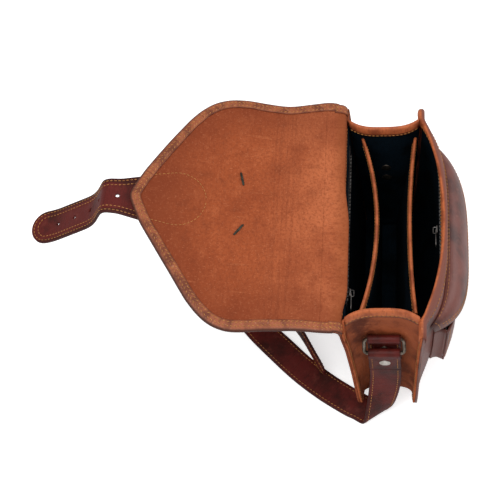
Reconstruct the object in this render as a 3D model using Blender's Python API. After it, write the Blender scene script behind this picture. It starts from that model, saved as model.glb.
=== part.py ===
"""Leather shoulder bag, standing open: front at -Y, flap folded back over +Y, floor at z = 0."""

import math

import bmesh
import bpy
from mathutils import Matrix, Vector

for old in list(bpy.data.objects):
    bpy.data.objects.remove(old, do_unlink=True)

# Bag body
bag_width = 0.254
bag_height = 0.203
base_depth = 0.062
mouth_depth = 0.084
front_bow = 0.022
bow_height = 0.110
bow_even_height = 0.183
bow_power_low = 5.0
bow_power_mouth = 2.2
seam_edge = 0.009
corner_radius = 0.026
gusset_fold = 0.009
gusset_plateau = 0.038

# Materials of the walls
leather = 0.0024
gusset_leather = 0.0020
cloth = 0.0010
board = 0.0020
divider_thick = 0.0020
edge_wall = 0.0011
gap = 0.0003

# Linings, dividers and mouth edges
lining_drop = 0.007
edge_drop = 0.011
divider_height = 0.188
divider_to_side = 0.005
back_divider_top = 0.023
back_divider_bow = 0.016
front_divider_top = 0.033
front_divider_bow = 0.006
divider_base = 0.009
divider_edge_drop = 0.009

# Inner zips
zip_height = 0.182
zip_tape = 0.018
zip_tape_thick = 0.0008
zip_slot = 0.004
zip_chain = 0.005
zip_chain_thick = 0.0015
back_zip_to_side = 0.021
front_zip_to_side = 0.043
zip_end = 0.006
slider_length = 0.010
slider_height = 0.0084
slider_depth = 0.0042
slider_wall = 0.0014
pull_length = 0.0185
pull_width = 0.007
pull_thick = 0.0012
front_slider_x = -0.006

# Flap
flap_length = 0.217
flap_half = 0.134
flap_thick = 0.0024
flap_rise = math.radians(10)
flap_fold = 0.113
flap_edge = 0.011
flap_edge_start = 0.006
fold_gap = 0.00015
back_edge_gap = 0.00045
flap_edge_shares = [
    (0.00, 0.948), (0.07, 0.965), (0.20, 0.968), (0.33, 0.985), (0.43, 1.000), (0.53, 0.993),
    (0.585, 0.972), (0.625, 0.935), (0.66, 0.885), (0.70, 0.815), (0.83, 0.515), (0.95, 0.215), (1.0, 0.0),
]
stud_along = 0.105
stud_across = 0.030
stud_head = 0.0045
stud_shank = 0.0012
stud_head_thick = 0.0015
stud_leg = 0.0065
stud_leg_width = 0.0022
stud_leg_thick = 0.0009

# Closure strap
closure_width = 0.039
closure_thick = 0.0024
closure_base_start = 0.139
closure_base_half = 0.032
closure_bend = 0.247
closure_set_back = 0.00102
closure_length = 0.116
closure_droop = math.radians(47)
closure_hole = 0.0021
closure_hole_pitch = 0.0253
closure_first_hole = -0.016
closure_hole_count = 5

# Front pocket
pocket_half = 0.103
pocket_bottom = 0.058
pocket_top = 0.144
pocket_depth = 0.013
pocket_corner = 0.021
pocket_leather = 0.0022
pocket_gusset = 0.0018
pocket_flap_top = 0.172
pocket_flap_half = 0.110
pocket_flap_reach = 0.0245
pocket_flap_end_drop = 0.009
pocket_flap_drop = 0.032
pocket_flap_bulge_half = 0.113

# Front buckle
chape_width = 0.038
chape_thick = 0.0018
chape_height = 0.020
chape_reach = 0.013
buckle_bar_up = 0.011
buckle_bar = 0.0018
buckle_inner = 0.041
buckle_length = 0.022
buckle_corner = 0.0025
prong_radius = 0.0008
prong_over = 0.002
keeper_down = 0.006
keeper_width = 0.008
keeper_space = 0.003
keeper_thick = 0.0016
keeper_foot = 0.005
rivet_radius = 0.0016
rivet_head = 0.0040
rivet_head_thick = 0.0009

# Rings and shoulder strap
ring_bar = 0.0020
ring_span = 0.019
ring_tilt = math.radians(24)
ring_height = 0.150
ring_corner = 0.004
tab_width = 0.034
tab_thick = 0.0022
tab_bottom = 0.100
tab_rivets_z = (0.108, 0.128)
loop_clearance = 0.00035
strap_width = 0.033
strap_thick = 0.0026
strap_side_gap = 0.0018
strap_fold_length = 0.035
strap_rivet_down = 0.019
strap_rivet_head = 0.0060
strap_reach = 0.208
strap_buckle_share = 0.5852
strap_buckle_length = 0.024
strap_buckle_inner = 0.0342
strap_loop_length = 0.014
tail_tip_share = 0.35

# Places on the straps' middle lines, as shares, each with the direction across the strap.
# Hanging rows are shares of hang_x, strap_width and hang_z, lying rows of hang_x, strap_reach and strap_width,
# and rows at the buckle of strap_buckle_length, strap_thick and strap_width from the buckle's middle
left_drop_shares = [
    ((-1, 0, 1), (0, 1, 0)),
    ((-1.0103, 0.0152, 0.7729), (0, 1, 0)),
    ((-1.0526, 0.0909, 0.5152), (-0.12, 1, 0)),
    ((-1.1135, 0.2273, 0.2679), (-0.35, 0.93, 0)),
]
left_floor_shares = [
    ((-1.142, 0.0577, 0.303), (-0.55, 0.84, 0)),
    ((-1.122, 0.0841, 0.097), (-0.62, 0.78, 0)),
    ((-1.068, 0.1298, 0.0485), (-0.72, 0.69, 0)),
    ((-1.012, 0.1923, 0.0485), (-0.79, 0.62, 0)),
    ((-0.862, 0.3317, 0.0485), (-0.79, 0.62, 0)),
    ((-0.682, 0.4688, 0.0485), (-0.77, 0.64, 0)),
    ((-0.464, 0.6058, 0.0667), (-0.72, 0.69, 0)),
    ((-0.265, 0.7356, 0.2273), (-0.62, 0.72, 0.3)),
    ((-0.055, 0.8606, 0.5091), (-0.3, 0.35, 0.9)),
    ((0.16, 0.9615, 0.5758), (0, 0, 1)),
]
right_drop_shares = [
    ((1, 0, 1), (0, 1, 0)),
    ((1.0176, 0.0303, 0.7625), (0, 1, 0)),
    ((1.081, 0.1515, 0.5152), (-0.05, 1, 0.15)),
]
right_floor_shares = [
    ((1.1786, 0.0601, 1), (-0.05, 0.85, 0.45)),
    ((1.268, 0.125, 0.6818), (0, 0.5, 0.87)),
    ((1.3086, 0.2404, 0.5394), (0, 0.1, 1)),
    ((1.3168, 0.4087, 0.5212), (0, 0, 1)),
    ((1.268, 0.625, 0.5212), (0, 0, 1)),
    ((1.1379, 0.8269, 0.5303), (0, 0, 1)),
    ((0.9185, 0.9856, 0.5758), (0, 0, 1)),
]
right_buckle_shares = [
    ((0.625, 1.3077, 0), (0, 0, 1)),
    ((0.2917, 0.9231, 0), (0, 0, 1)),
    ((-0.1667, -1.9231, 0), (0, 0, 1)),
    ((-0.625, -2.5385, 0), (0, 0, 1)),
    ((-1.3333, -4.6154, -0.0061), (0, 0, 1)),
]
right_tail_shares = [
    ((0.2032, 0.8654, 0.5909), (0, 0, 1)),
    ((0.0894, 0.7837, 0.5455), (0, 0, 1)),
    ((-0.0244, 0.6923, 0.5212), (0, 0, 1)),
    ((-0.1463, 0.5962, 0.5212), (0, 0, 1)),
    ((-0.2682, 0.5192, 0.5212), (0, 0, 1)),
    ((-0.3983, 0.4639, 0.5212), (0, 0, 1)),
    ((-0.5365, 0.4183, 0.5606), (0, 0, 1)),
    ((-0.6665, 0.3774, 0.6212), (0, 0, 1)),
    ((-0.7803, 0.3365, 0.6424), (0, 0, 1)),
]

round_sides = 12
bar_sides = 8

# Worked out from the sizes above
panel_half = bag_width / 2
seam_half = panel_half - seam_edge
corner_centre = seam_half - corner_radius
wall_depth = leather + gap + cloth
floor_top = gusset_leather + gap + board + gap + cloth
lining_top = bag_height - lining_drop + gap
edge_top = bag_height + gap + edge_wall
flap_skin = flap_thick / 2 + gap + edge_wall
hinge_y = mouth_depth / 2 - leather / 2
hinge_z = edge_top + 2 * gap + flap_skin
plateau_x = seam_half - gusset_fold
lining_half = seam_half - gusset_leather - gap - cloth - gap
base_floor = floor_top + gap
divider_half = plateau_x - divider_to_side
back_zip_half = plateau_x - back_zip_to_side
front_zip_half = plateau_x - front_zip_to_side
back_slider_x = slider_length - back_zip_half
tab_back = plateau_x + gap + tab_thick / 2
ring_loop = ring_bar + loop_clearance + tab_thick / 2
ring_x = tab_back + ring_loop
strap_loop = ring_bar + loop_clearance + strap_thick / 2
strap_layer = (strap_thick + gap) / 2
low_x = ring_x + ring_span * math.sin(ring_tilt)
low_z = ring_height - ring_span * math.cos(ring_tilt)
strap_low = low_z - strap_fold_length
hang_x = low_x + strap_layer
hang_z = strap_low - 2 * gap
strap_buckle_z = strap_buckle_inner / 2 + buckle_bar * 2 + gap / 3
strap_buckle_at = Vector((strap_buckle_share * hang_x, strap_reach, strap_buckle_z))


def paint(name, red, green, blue, roughness, metallic=0.0):
    made = bpy.data.materials.new(name)
    made.use_nodes = True
    shader = made.node_tree.nodes["Principled BSDF"]
    shader.inputs["Base Color"].default_value = (red, green, blue, 1.0)
    shader.inputs["Roughness"].default_value = roughness
    shader.inputs["Metallic"].default_value = metallic
    made.diffuse_color = (red, green, blue, 1.0)
    return made


outer_leather = paint("outer leather", 0.12, 0.035, 0.028, 0.42)
gusset_hide = paint("gusset leather", 0.36, 0.11, 0.045, 0.60)
suede = paint("flap inner side", 0.40, 0.13, 0.055, 0.85)
edge_hide = paint("edge strip leather", 0.45, 0.15, 0.06, 0.55)
strap_hide = paint("strap leather", 0.14, 0.028, 0.018, 0.45)
lining_cloth = paint("lining cloth", 0.004, 0.012, 0.022, 0.85)
board_fibre = paint("base board", 0.18, 0.13, 0.09, 0.90)
zip_cloth = paint("zip tape", 0.09, 0.085, 0.08, 0.80)
aged_brass = paint("aged metal", 0.20, 0.17, 0.13, 0.38, 1.0)
bright_steel = paint("rivet metal", 0.55, 0.52, 0.47, 0.32, 1.0)


def finish(name, bm, material, carrier=None):
    bmesh.ops.recalc_face_normals(bm, faces=bm.faces[:])
    mesh = bpy.data.meshes.new(name)
    bm.to_mesh(mesh)
    bm.free()
    mesh.materials.append(material)
    made = bpy.data.objects.new(name, mesh)
    bpy.context.scene.collection.objects.link(made)
    if carrier is not None:
        made.parent = carrier
        made.matrix_parent_inverse = Matrix.Translation(-carrier.location)
    return made


def pivot(name, place):
    """An empty on a joint's axis, which carries the pieces that turn or slide there."""
    made = bpy.data.objects.new(name, None)
    made.location = place
    bpy.context.scene.collection.objects.link(made)
    return made


def add_loft(bm, rings, closed=False):
    """A solid through matching rings of points, capped at both ends unless it closes on itself."""
    rows = [[bm.verts.new(point) for point in ring] for ring in rings]
    count = len(rows[0])
    spans = list(zip(rows, rows[1:]))
    if closed:
        spans.append((rows[-1], rows[0]))
    for low, high in spans:
        for i in range(count):
            j = (i + 1) % count
            if low[i].co.z < low[j].co.z:
                bm.faces.new((low[i], low[j], high[j]))
                bm.faces.new((low[i], high[j], high[i]))
            else:
                bm.faces.new((low[i], low[j], high[i]))
                bm.faces.new((low[j], high[j], high[i]))
    if not closed:
        bm.faces.new(rows[0])
        bm.faces.new(rows[-1])


def add_sheet(bm, across, along, face, back, kept=lambda a, b: True):
    """A thin wall between face(a, b) and back(a, b); kept() says which cells it has."""
    sides = []
    for place in (face, back):
        sides.append([[bm.verts.new(place(a, b)) for a in across] for b in along])
    cells = set()
    for j in range(len(along) - 1):
        for i in range(len(across) - 1):
            if kept((across[i] + across[i + 1]) / 2, (along[j] + along[j + 1]) / 2):
                cells.add((i, j))
    front, rear = sides
    for i, j in cells:
        corners = [(i, j), (i + 1, j), (i + 1, j + 1), (i, j + 1)]
        for a, b, c in ((0, 1, 2), (0, 2, 3)):
            bm.faces.new([front[corners[k][1]][corners[k][0]] for k in (a, b, c)])
            bm.faces.new([rear[corners[k][1]][corners[k][0]] for k in (c, b, a)])
        beside = [(i, j - 1), (i + 1, j), (i, j + 1), (i - 1, j)]
        for k in range(4):
            if beside[k] in cells:
                continue
            (p, q), (r, s) = corners[k], corners[(k + 1) % 4]
            bm.faces.new((front[q][p], rear[q][p], rear[s][r], front[s][r]))
    loose = [vert for vert in bm.verts if not vert.link_faces]
    bmesh.ops.delete(bm, geom=loose, context="VERTS")


def sheet(name, material, across, along, face, back, kept=lambda a, b: True, carrier=None):
    bm = bmesh.new()
    add_sheet(bm, across, along, face, back, kept)
    return finish(name, bm, material, carrier)


def loft(name, material, rings, closed=False, carrier=None):
    bm = bmesh.new()
    add_loft(bm, rings, closed)
    return finish(name, bm, material, carrier)


def offset_path(path, distance):
    """The path moved sideways by a distance, mitred at its corners."""
    moved = []
    for i, point in enumerate(path):
        here = Vector(point)
        before = here - Vector(path[i - 1]) if i > 0 else Vector(path[1]) - here
        after = Vector(path[i + 1]) - here if i < len(path) - 1 else here - Vector(path[-2])
        first = Vector((-before.y, before.x)).normalized()
        second = Vector((-after.y, after.x)).normalized()
        middle = (first + second).normalized()
        moved.append(here + middle * (distance / max(middle.dot(first), 0.4)))
    return moved


def add_strip(bm, path, thick, place, low, high):
    """A strip of even thickness that follows a path in a plane, from low to high across that plane."""
    outline = offset_path(path, thick / 2) + list(reversed(offset_path(path, -thick / 2)))
    add_loft(bm, [[place(p.x, p.y, side) for p in outline] for side in (low, high)])


def arc(centre, radius, start, end, steps):
    turned = []
    for i in range(steps + 1):
        angle = math.radians(start + (end - start) * i / steps)
        turned.append((centre[0] + radius * math.cos(angle), centre[1] + radius * math.sin(angle)))
    return turned


def axes_across(direction):
    direction = Vector(direction).normalized()
    helper = Vector((0, 0, 1)) if abs(direction.z) < 0.9 else Vector((1, 0, 0))
    first = direction.cross(helper).normalized()
    return direction, first, direction.cross(first).normalized()


def add_turned(bm, place, direction, profile, sides=round_sides):
    """A turned piece: profile lists (distance along the axis, radius)."""
    direction, first, second = axes_across(direction)
    rings = []
    for along, radius in profile:
        ring = []
        for i in range(sides):
            angle = 2 * math.pi * i / sides
            ring.append(Vector(place) + direction * along + first * radius * math.cos(angle)
                        + second * radius * math.sin(angle))
        rings.append(ring)
    add_loft(bm, rings)


def add_bar_loop(bm, corners, normal, radius):
    """A round bar bent into a closed loop through the given points of one plane."""
    rings = []
    count = len(corners)
    for i in range(count):
        forward = (corners[(i + 1) % count] - corners[i - 1]).normalized()
        side = forward.cross(normal).normalized()
        ring = []
        for k in range(bar_sides):
            angle = 2 * math.pi * (k + 0.5) / bar_sides
            ring.append(corners[i] + (side * math.cos(angle) + normal * math.sin(angle)) * radius)
        rings.append(ring)
    add_loft(bm, rings, closed=True)


def rounded_loop(half_a, low_b, high_b, corner, steps=3):
    """Points round a rectangle with rounded corners, in its own plane."""
    inner_a = half_a - corner
    points = arc((inner_a, high_b - corner), corner, 0, 90, steps)
    points += arc((-inner_a, high_b - corner), corner, 90, 180, steps)
    points += arc((-inner_a, low_b + corner), corner, 180, 270, steps)
    points += arc((inner_a, low_b + corner), corner, 270, 360, steps)
    return points


def bore(target, start, end, radius):
    """Cuts a round hole through the target from start to end."""
    bm = bmesh.new()
    start, end = Vector(start), Vector(end)
    add_turned(bm, start, end - start, [(0, radius), ((end - start).length, radius)])
    cut(target, bm)


def cut(target, bm):
    cutter = finish(target.name + "_cutter", bm, board_fibre)
    cutter.hide_render = True
    cutter.display_type = "WIRE"
    modifier = target.modifiers.new("hole", "BOOLEAN")
    modifier.operation = "DIFFERENCE"
    modifier.object = cutter


def placed(rows, scale, start=(0, 0, 0)):
    """The rows' places and across directions, from shares of three sizes measured from start."""
    sizes = Matrix.Diagonal(scale)
    return [(Vector(start) + sizes @ Vector(shares), Vector(across)) for shares, across in rows]


def hanging(rows):
    return placed(rows, (hang_x, strap_width, hang_z))


def lying(rows):
    return placed(rows, (hang_x, strap_reach, strap_width))


def at_buckle(rows):
    return placed(rows, (strap_buckle_length, strap_thick, strap_width), strap_buckle_at)


def smooth_route(rows, steps):
    """The middle points and across directions of a strap, on a curve through its rows."""
    points = [point for point, across in rows]
    sides = [across.normalized() for point, across in rows]
    stations = []
    last = len(rows) - 1
    for i in range(last):
        for k in range(steps + (i == last - 1)):
            t = k / steps
            mixed = []
            for values in (points, sides):
                before = values[max(i - 1, 0)]
                after = values[min(i + 2, last)]
                start, end = values[i], values[i + 1]
                lean_in = (end - before) / (2 if i > 0 else 1)
                lean_out = (after - start) / (2 if i < last - 1 else 1)
                mixed.append(start * (2 * t**3 - 3 * t**2 + 1) + end * (3 * t**2 - 2 * t**3)
                             + lean_in * (t**3 - 2 * t**2 + t) + lean_out * (t**3 - t**2))
            stations.append(mixed)
    return stations


def strap_rings(rows, steps, tip):
    """Sections of a flat strap along a route; tip is the length over which its last end rounds off."""
    stations = smooth_route(rows, steps)
    rings = []
    count = len(stations)
    left = [0.0]
    for i in range(count - 1, 0, -1):
        left.append(left[-1] + (stations[i][0] - stations[i - 1][0]).length)
    left.reverse()
    for i, (middle, side) in enumerate(stations):
        ahead = (stations[min(i + 1, count - 1)][0] - stations[max(i - 1, 0)][0]).normalized()
        side = side.normalized()
        face = ahead.cross(side).normalized() * strap_thick / 2
        width = strap_width / 2
        if left[i] < tip:
            width *= max(tail_tip_share, math.sqrt(max(0.0, 1 - (1 - left[i] / tip) ** 2)))
        side = side * width
        low, high = middle - face, middle + face
        rings.append(([low - side, low + side, high + side, high - side], ahead))
    return rings


def strap_pair(prefix, rows, steps, drop_rows, tip=0.0):
    """The shoulder strap from a ring: the part that hangs, and after a hair's gap the part that lies."""
    rings = strap_rings(rows, steps, tip)
    split = drop_rows * steps
    loft(prefix + "_strap_drop", strap_hide, [ring for ring, ahead in rings[:split + 1]])
    first, ahead = rings[split]
    lying = [[point + ahead * gap for point in first]] + [ring for ring, ahead in rings[split + 1:]]
    return loft(prefix + "_strap_floor", strap_hide, lying)


# The shape of the body

def lean(z):
    """Half the bag's depth at a height, measured at its side seams."""
    return (base_depth + (mouth_depth - base_depth) * z / bag_height) / 2


def front_curve(x, z):
    """y of the front panel's outer face, which bellies out between its side seams."""
    blend = min(1.0, max(0.0, (z - bow_even_height) / (bag_height - bow_even_height)))
    power = bow_power_low + (bow_power_mouth - bow_power_low) * blend
    share = min(1.0, abs(x) / seam_half)
    rise = math.sin(math.pi / 2 * min(1.0, max(z, 0.0) / bow_height))
    return -lean(z) - front_bow * rise * (1 - share**power)


def corner_station(angle):
    """A point of the gusset's outer face round the bottom corner, with its outward direction."""
    out = Vector((math.cos(angle), math.sin(angle)))
    return Vector((corner_centre, corner_radius)) + out * corner_radius, out


bow_columns = [share * seam_half for share in (0, 0.3, 0.55, 0.72, 0.85, 0.94, 1)]
body_levels = [0.0, corner_radius * 0.16, corner_radius * 0.5, corner_radius, 0.050, 0.080, bow_height, 0.145,
               bow_even_height, bag_height - edge_drop, bag_height]


def between(values, wanted):
    """The step of a rising list that holds a value, and how far along that step it is."""
    for i in range(len(values) - 2):
        if wanted < values[i + 1]:
            break
    else:
        i = len(values) - 2
    return i, (wanted - values[i]) / (values[i + 1] - values[i])


def front_face(x, z):
    """The front panel's face as its flat facets have it; pieces behind and before it follow it."""
    i, across = between(bow_columns, min(abs(x), seam_half))
    j, up = between(body_levels, z)
    rows = []
    for level in body_levels[j:j + 2]:
        near, far = (front_curve(column, level) for column in bow_columns[i:i + 2])
        rows.append(near + (far - near) * across)
    return rows[0] + (rows[1] - rows[0]) * up


def columns_to(half, extra=()):
    """Places across the bag from -half to half, at the facets' edges and at any extra ones."""
    positive = sorted({column for column in bow_columns if 0 < column < half} | set(extra) | {half})
    return [-x for x in reversed(positive)] + [0.0] + positive


corner_angles = [math.radians(a) for a in (-80, -68, -50, -32, -15)]
gusset_stations = [corner_station(angle) for angle in corner_angles]
for level in sorted(body_levels + [lining_top]):
    if level >= corner_radius:
        gusset_stations.append((Vector((seam_half, level)), Vector((1, 0))))

panel_edge = [(corner_centre, 0.0)]
for at, out in gusset_stations:
    edge_at = at + out * seam_edge * out.x**2
    if edge_at.y > 0:
        panel_edge.append((edge_at.x, edge_at.y))
panel_columns = columns_to(panel_half, (corner_centre, lining_half))


def panel_half_at(z):
    j, up = between([level for half, level in panel_edge], z)
    return panel_edge[j][0] + (panel_edge[j + 1][0] - panel_edge[j][0]) * up


def panel_x(column, z):
    """Columns outside the flat bottom edge draw in round the panel's bottom corners."""
    extra = abs(column) - corner_centre
    if extra <= 0:
        return column
    reach = panel_half_at(z) - corner_centre
    return math.copysign(corner_centre + extra * reach / (panel_half - corner_centre), column)


panel_levels = sorted(set([level for half, level in panel_edge] + body_levels))


def back_panel():
    rise = hinge_z - flap_thick / 2 - back_edge_gap - bag_height

    def layer(inner):
        def place(column, z):
            y = min(lean(z), mouth_depth / 2) - inner
            return Vector((panel_x(column, z), y, z + (rise if z == bag_height else 0.0)))
        return place
    sheet("back_panel", outer_leather, panel_columns, panel_levels, layer(0.0), layer(leather))


def front_panel():
    def layer(inner):
        def place(column, z):
            x = panel_x(column, z)
            return Vector((x, front_face(x, z) + inner, z))
        return place
    made = sheet("front_panel", outer_leather, panel_columns, panel_levels, layer(0.0), layer(leather))
    place = buckle_frame_axes()[0]
    rivet_up = -chape_reach / 4
    bore(made, place(0, rivet_up, -leather * 3), place(0, rivet_up, leather), rivet_radius + gap)


fold_shares = (0.0, 0.3, 0.65, 1.0)


def fold_places(z):
    """Distances from the middle of the bag's side at which the gusset bends, from its seam inwards."""
    seam_y = lean(z) - leather - gap
    return [seam_y - (seam_y - gusset_plateau / 2) * share for share in fold_shares]


def gusset_depth(y, z):
    """How far the gusset is folded in at a place across the bag, from 0 at the seam to 1 in the middle."""
    places = fold_places(z)
    share = (places[0] - abs(y)) / (places[0] - places[-1])
    i, part = between(fold_shares, min(1.0, max(0.0, share)))
    low, high = (t * t * (3 - 2 * t) for t in fold_shares[i:i + 2])
    return low + (high - low) * part


def gusset(name, side):
    """The gusset runs down one side and round the bottom corner; its edges turn out along the panels."""
    levels = range(len(gusset_stations))
    sections = (-5, -4, -3, -2, -1, -0.5, 0.5, 1, 2, 3, 4, 5)

    def place(inner):
        def spot(a, b):
            at, out = gusset_stations[int(b)]
            bends = fold_places(at.y)
            step = abs(a)
            if step == 5:
                y = bends[0] - (0.0 if inner else gusset_leather)
                point = at + out * seam_edge * max(out.x**2, 0.03)
            else:
                y = bends[-1] / 2 if step == 0.5 else bends[4 - int(step)]
                y -= gusset_leather if step == 4 and not inner else 0.0
                fold = gusset_fold * out.x**2 * gusset_depth(y, at.y)
                point = at - out * (fold + (gusset_leather if inner else 0.0))
            return Vector((side * point.x, math.copysign(y, a), point.y))
        return spot
    return sheet(name, gusset_hide, sections, levels, place(False), place(True))


def gusset_lining(name, side):
    stations = [entry for entry in gusset_stations if entry[1].x > 0.5 and entry[0].y <= lining_top + gap]
    levels = range(len(stations))
    steps = (-4, -3, -2, -1, 1, 2, 3, 4)

    def place(depth):
        def spot(a, b):
            at, out = stations[int(b)]
            end = lean(at.y) - wall_depth - gap
            y = end if abs(a) == 4 else fold_places(at.y)[4 - int(abs(a))]
            fold = gusset_fold * out.x**2 * gusset_depth(y, at.y)
            point = at - out * (fold + gusset_leather + gap + depth)
            return Vector((side * point.x, math.copysign(y, a), point.y))
        return spot
    return sheet(name, lining_cloth, steps, levels, place(0.0), place(cloth))


def folded_half(z):
    """Half the width between the folded sides at a height, for a wall that hangs between them."""
    inner = []
    for at, out in gusset_stations:
        inner.append(at - out * (gusset_fold * out.x**2 + gusset_leather + cloth + gap * 4))
    j, up = between([point.y for point in inner], z)
    return min(divider_half, inner[j].x + (inner[j + 1].x - inner[j].x) * up)


def inner_half(z, clear, most):
    """Half the width that fits inside the rounded bottom corners at a height."""
    radius = corner_radius - clear
    fall = max(0.0, corner_radius - z)
    return min(most, corner_centre + math.sqrt(max(0.0, radius**2 - fall**2)))


def wall_lining(name, wall, sign, zip_half):
    """A lining against the back or front wall, with a slot behind its zip."""
    slot_low, slot_high = zip_height - zip_slot / 2, zip_height + zip_slot / 2
    levels = sorted([level for level in body_levels if base_floor < level <= lining_top]
                    + [base_floor, slot_low, slot_high])
    columns = columns_to(lining_half, (zip_half, corner_centre))

    def place(depth):
        def spot(column, z):
            x = column
            if abs(column) > corner_centre:
                reach = inner_half(z, gusset_leather + gap + cloth + gap, lining_half) - corner_centre
                extra = (abs(column) - corner_centre) / (lining_half - corner_centre)
                x = math.copysign(corner_centre + reach * extra, column)
            return Vector((x, wall(x, z) - sign * depth, z))
        return spot

    def kept(column, z):
        return not (slot_low < z < slot_high and abs(column) < zip_half)
    start = wall_depth - cloth
    return sheet(name, lining_cloth, columns, levels, place(start), place(wall_depth), kept)


def back_wall(x, z):
    return lean(z)


def zip_strip(name, wall, sign, half):
    """The tape, with the closed chain of teeth as a ridge along its middle."""
    face = wall_depth + gap
    inner = face + zip_tape_thick
    ridge = inner + zip_chain_thick
    profile = [
        (face, -zip_tape / 2), (inner, -zip_tape / 2), (inner, -zip_chain / 2), (ridge, -zip_chain / 2),
        (ridge, zip_chain / 2), (inner, zip_chain / 2), (inner, zip_tape / 2), (face, zip_tape / 2),
    ]
    rings = []
    for x in columns_to(half + zip_end):
        heights = [(depth, zip_height + up) for depth, up in profile]
        rings.append([Vector((x, wall(x, z) - sign * depth, z)) for depth, z in heights])
    loft(name, zip_cloth, rings)


def zip_slider(prefix, wall, sign, x, travel_end):
    """A channel that runs along the chain, and its pull, which swings about an upright pin in the channel."""
    chain_face = wall_depth + gap + zip_tape_thick + zip_chain_thick
    nearest = min(abs(wall(x, zip_height)), abs(wall(travel_end, zip_height)))
    base = sign * (nearest - chain_face - gap)
    half = slider_height / 2
    profile = [
        (0, -half), (slider_depth, -half), (slider_depth, slider_wall - half), (slider_wall, slider_wall - half),
        (slider_wall, half - slider_wall), (slider_depth, half - slider_wall), (slider_depth, half), (0, half),
    ]
    rings = []
    for end in (-slider_length / 2, slider_length / 2):
        rings.append([Vector((x + end, base - sign * depth, zip_height + up)) for depth, up in profile])
    pin_y = base - sign * (slider_wall + gap + pull_thick / 2)
    carrier = pivot(prefix + "_slider_pivot", Vector((x, pin_y, zip_height)))
    loft(prefix + "_slider", aged_brass, rings, carrier=carrier)

    neck = half - slider_wall - gap
    body = slider_length / 2 + gap * 3
    outline = [
        (pull_thick / 2, -neck), (pull_thick / 2, neck), (-body, neck), (-body - neck, pull_width / 2),
        (-pull_length, pull_width / 2), (-pull_length - neck, 0),
        (-pull_length, -pull_width / 2), (-body - neck, -pull_width / 2), (-body, -neck),
    ]
    rings = []
    for depth in (-pull_thick / 2, pull_thick / 2):
        rings.append([Vector((x + a, pin_y + depth, zip_height + b)) for a, b in outline])
    pin = pivot(prefix + "_pull_pivot", Vector((x, pin_y, zip_height)))
    loft(prefix + "_pull", aged_brass, rings, carrier=pin)


def divider_y(sign, top, bow):
    """y of a divider's middle: it bows inwards at its top and gathers towards the base."""
    def place(x, z):
        at_top = sign * top - math.copysign(bow, top * sign) * (1 - (x / divider_half) ** 2)
        share = z / divider_height
        return sign * divider_base + (at_top - sign * divider_base) * share
    return place


def divider(prefix, middle):
    levels = [base_floor, 0.008, 0.012, 0.018, corner_radius, 0.080, 0.135, divider_height]
    shares = (-1, -0.8, -0.6, -0.4, -0.2, 0, 0.2, 0.4, 0.6, 0.8, 1)

    def place(side):
        def spot(a, z):
            x = a * folded_half(z)
            return Vector((x, middle(x, z) + side * divider_thick / 2, z))
        return spot
    sheet(prefix, lining_cloth, shares, levels, place(-1), place(1))
    xs = [max(gap - divider_half, min(divider_half - gap, a * divider_half)) for a in shares]
    levels = [divider_height - divider_edge_drop, divider_height]
    loft(prefix + "_edge", edge_hide, top_channel(xs, middle, middle, divider_thick / 2, levels))


def top_channel(xs, outer, inner, half, levels):
    """An upside-down U over a wall's top edge; outer and inner give y of the wall's two faces, less half."""
    reach = half + gap
    top = levels[-1]
    rings = []
    for x in xs:
        ring = [Vector((x, outer(x, z) - reach - edge_wall, z)) for z in levels[:-1]]
        ring.append(Vector((x, outer(x, top) - reach - edge_wall, top + gap + edge_wall)))
        ring.append(Vector((x, inner(x, top) + reach + edge_wall, top + gap + edge_wall)))
        ring += [Vector((x, inner(x, z) + reach + edge_wall, z)) for z in reversed(levels[:-1])]
        ring += [Vector((x, inner(x, z) + reach, z)) for z in levels[:-1]]
        ring.append(Vector((x, inner(x, top) + reach, top + gap)))
        ring.append(Vector((x, outer(x, top) - reach, top + gap)))
        ring += [Vector((x, outer(x, z) - reach, z)) for z in reversed(levels[:-1])]
        rings.append(ring)
    return rings


def front_mouth_edge():
    def inner(x, z):
        return front_face(x, z) + wall_depth
    levels = [bag_height - edge_drop, lining_top, bag_height]
    rings = top_channel(columns_to(lining_half), front_face, inner, 0.0, levels)
    loft("front_mouth_edge", edge_hide, rings)


def side_mouth_edge(name, side):
    """The folded edge on the gusset's top, between the turned-out seam edges."""
    bottom, top = bag_height - edge_drop, bag_height + gap
    near = -gusset_leather - gap - cloth - gap
    far = gap + edge_wall
    profile = [
        (far, bottom), (far, top + edge_wall), (near - edge_wall, top + edge_wall), (near - edge_wall, bottom),
        (near, bottom), (near, top), (gap, top), (gap, bottom),
    ]
    rings = []
    for step in (-4, -3, -2, -1, 1, 2, 3, 4):
        ring = []
        for away, z in profile:
            level = min(z, bag_height)
            end = lean(level) - wall_depth - edge_wall - gap * 4
            y = end if abs(step) == 4 else fold_places(level)[4 - abs(step)]
            x = seam_half - gusset_fold * gusset_depth(y, level) + away
            ring.append(Vector((side * x, math.copysign(y, step), z)))
        rings.append(ring)
    loft(name, edge_hide, rings)


def flat_plate(name, material, half_x, half_y, low, high):
    corners = [(-half_x, -half_y), (half_x, -half_y), (half_x, half_y), (-half_x, half_y)]
    loft(name, material, [[Vector((x, y, z)) for x, y in corners] for z in (low, high)])


# The flap

def flap_point(along, across, above):
    """A place on the open flap: along from the hinge, across the bag, above its middle layer."""
    ahead = Vector((0, math.cos(flap_rise), math.sin(flap_rise)))
    up = Vector((0, -math.sin(flap_rise), math.cos(flap_rise)))
    return Vector((across, hinge_y, hinge_z)) + ahead * along + up * above


def flap_half_at(share):
    for (low, half_low), (high, half_high) in zip(flap_edge_shares, flap_edge_shares[1:]):
        if low <= share <= high:
            return flap_half * (half_low + (half_high - half_low) * (share - low) / (high - low))
    return 0.0


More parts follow.
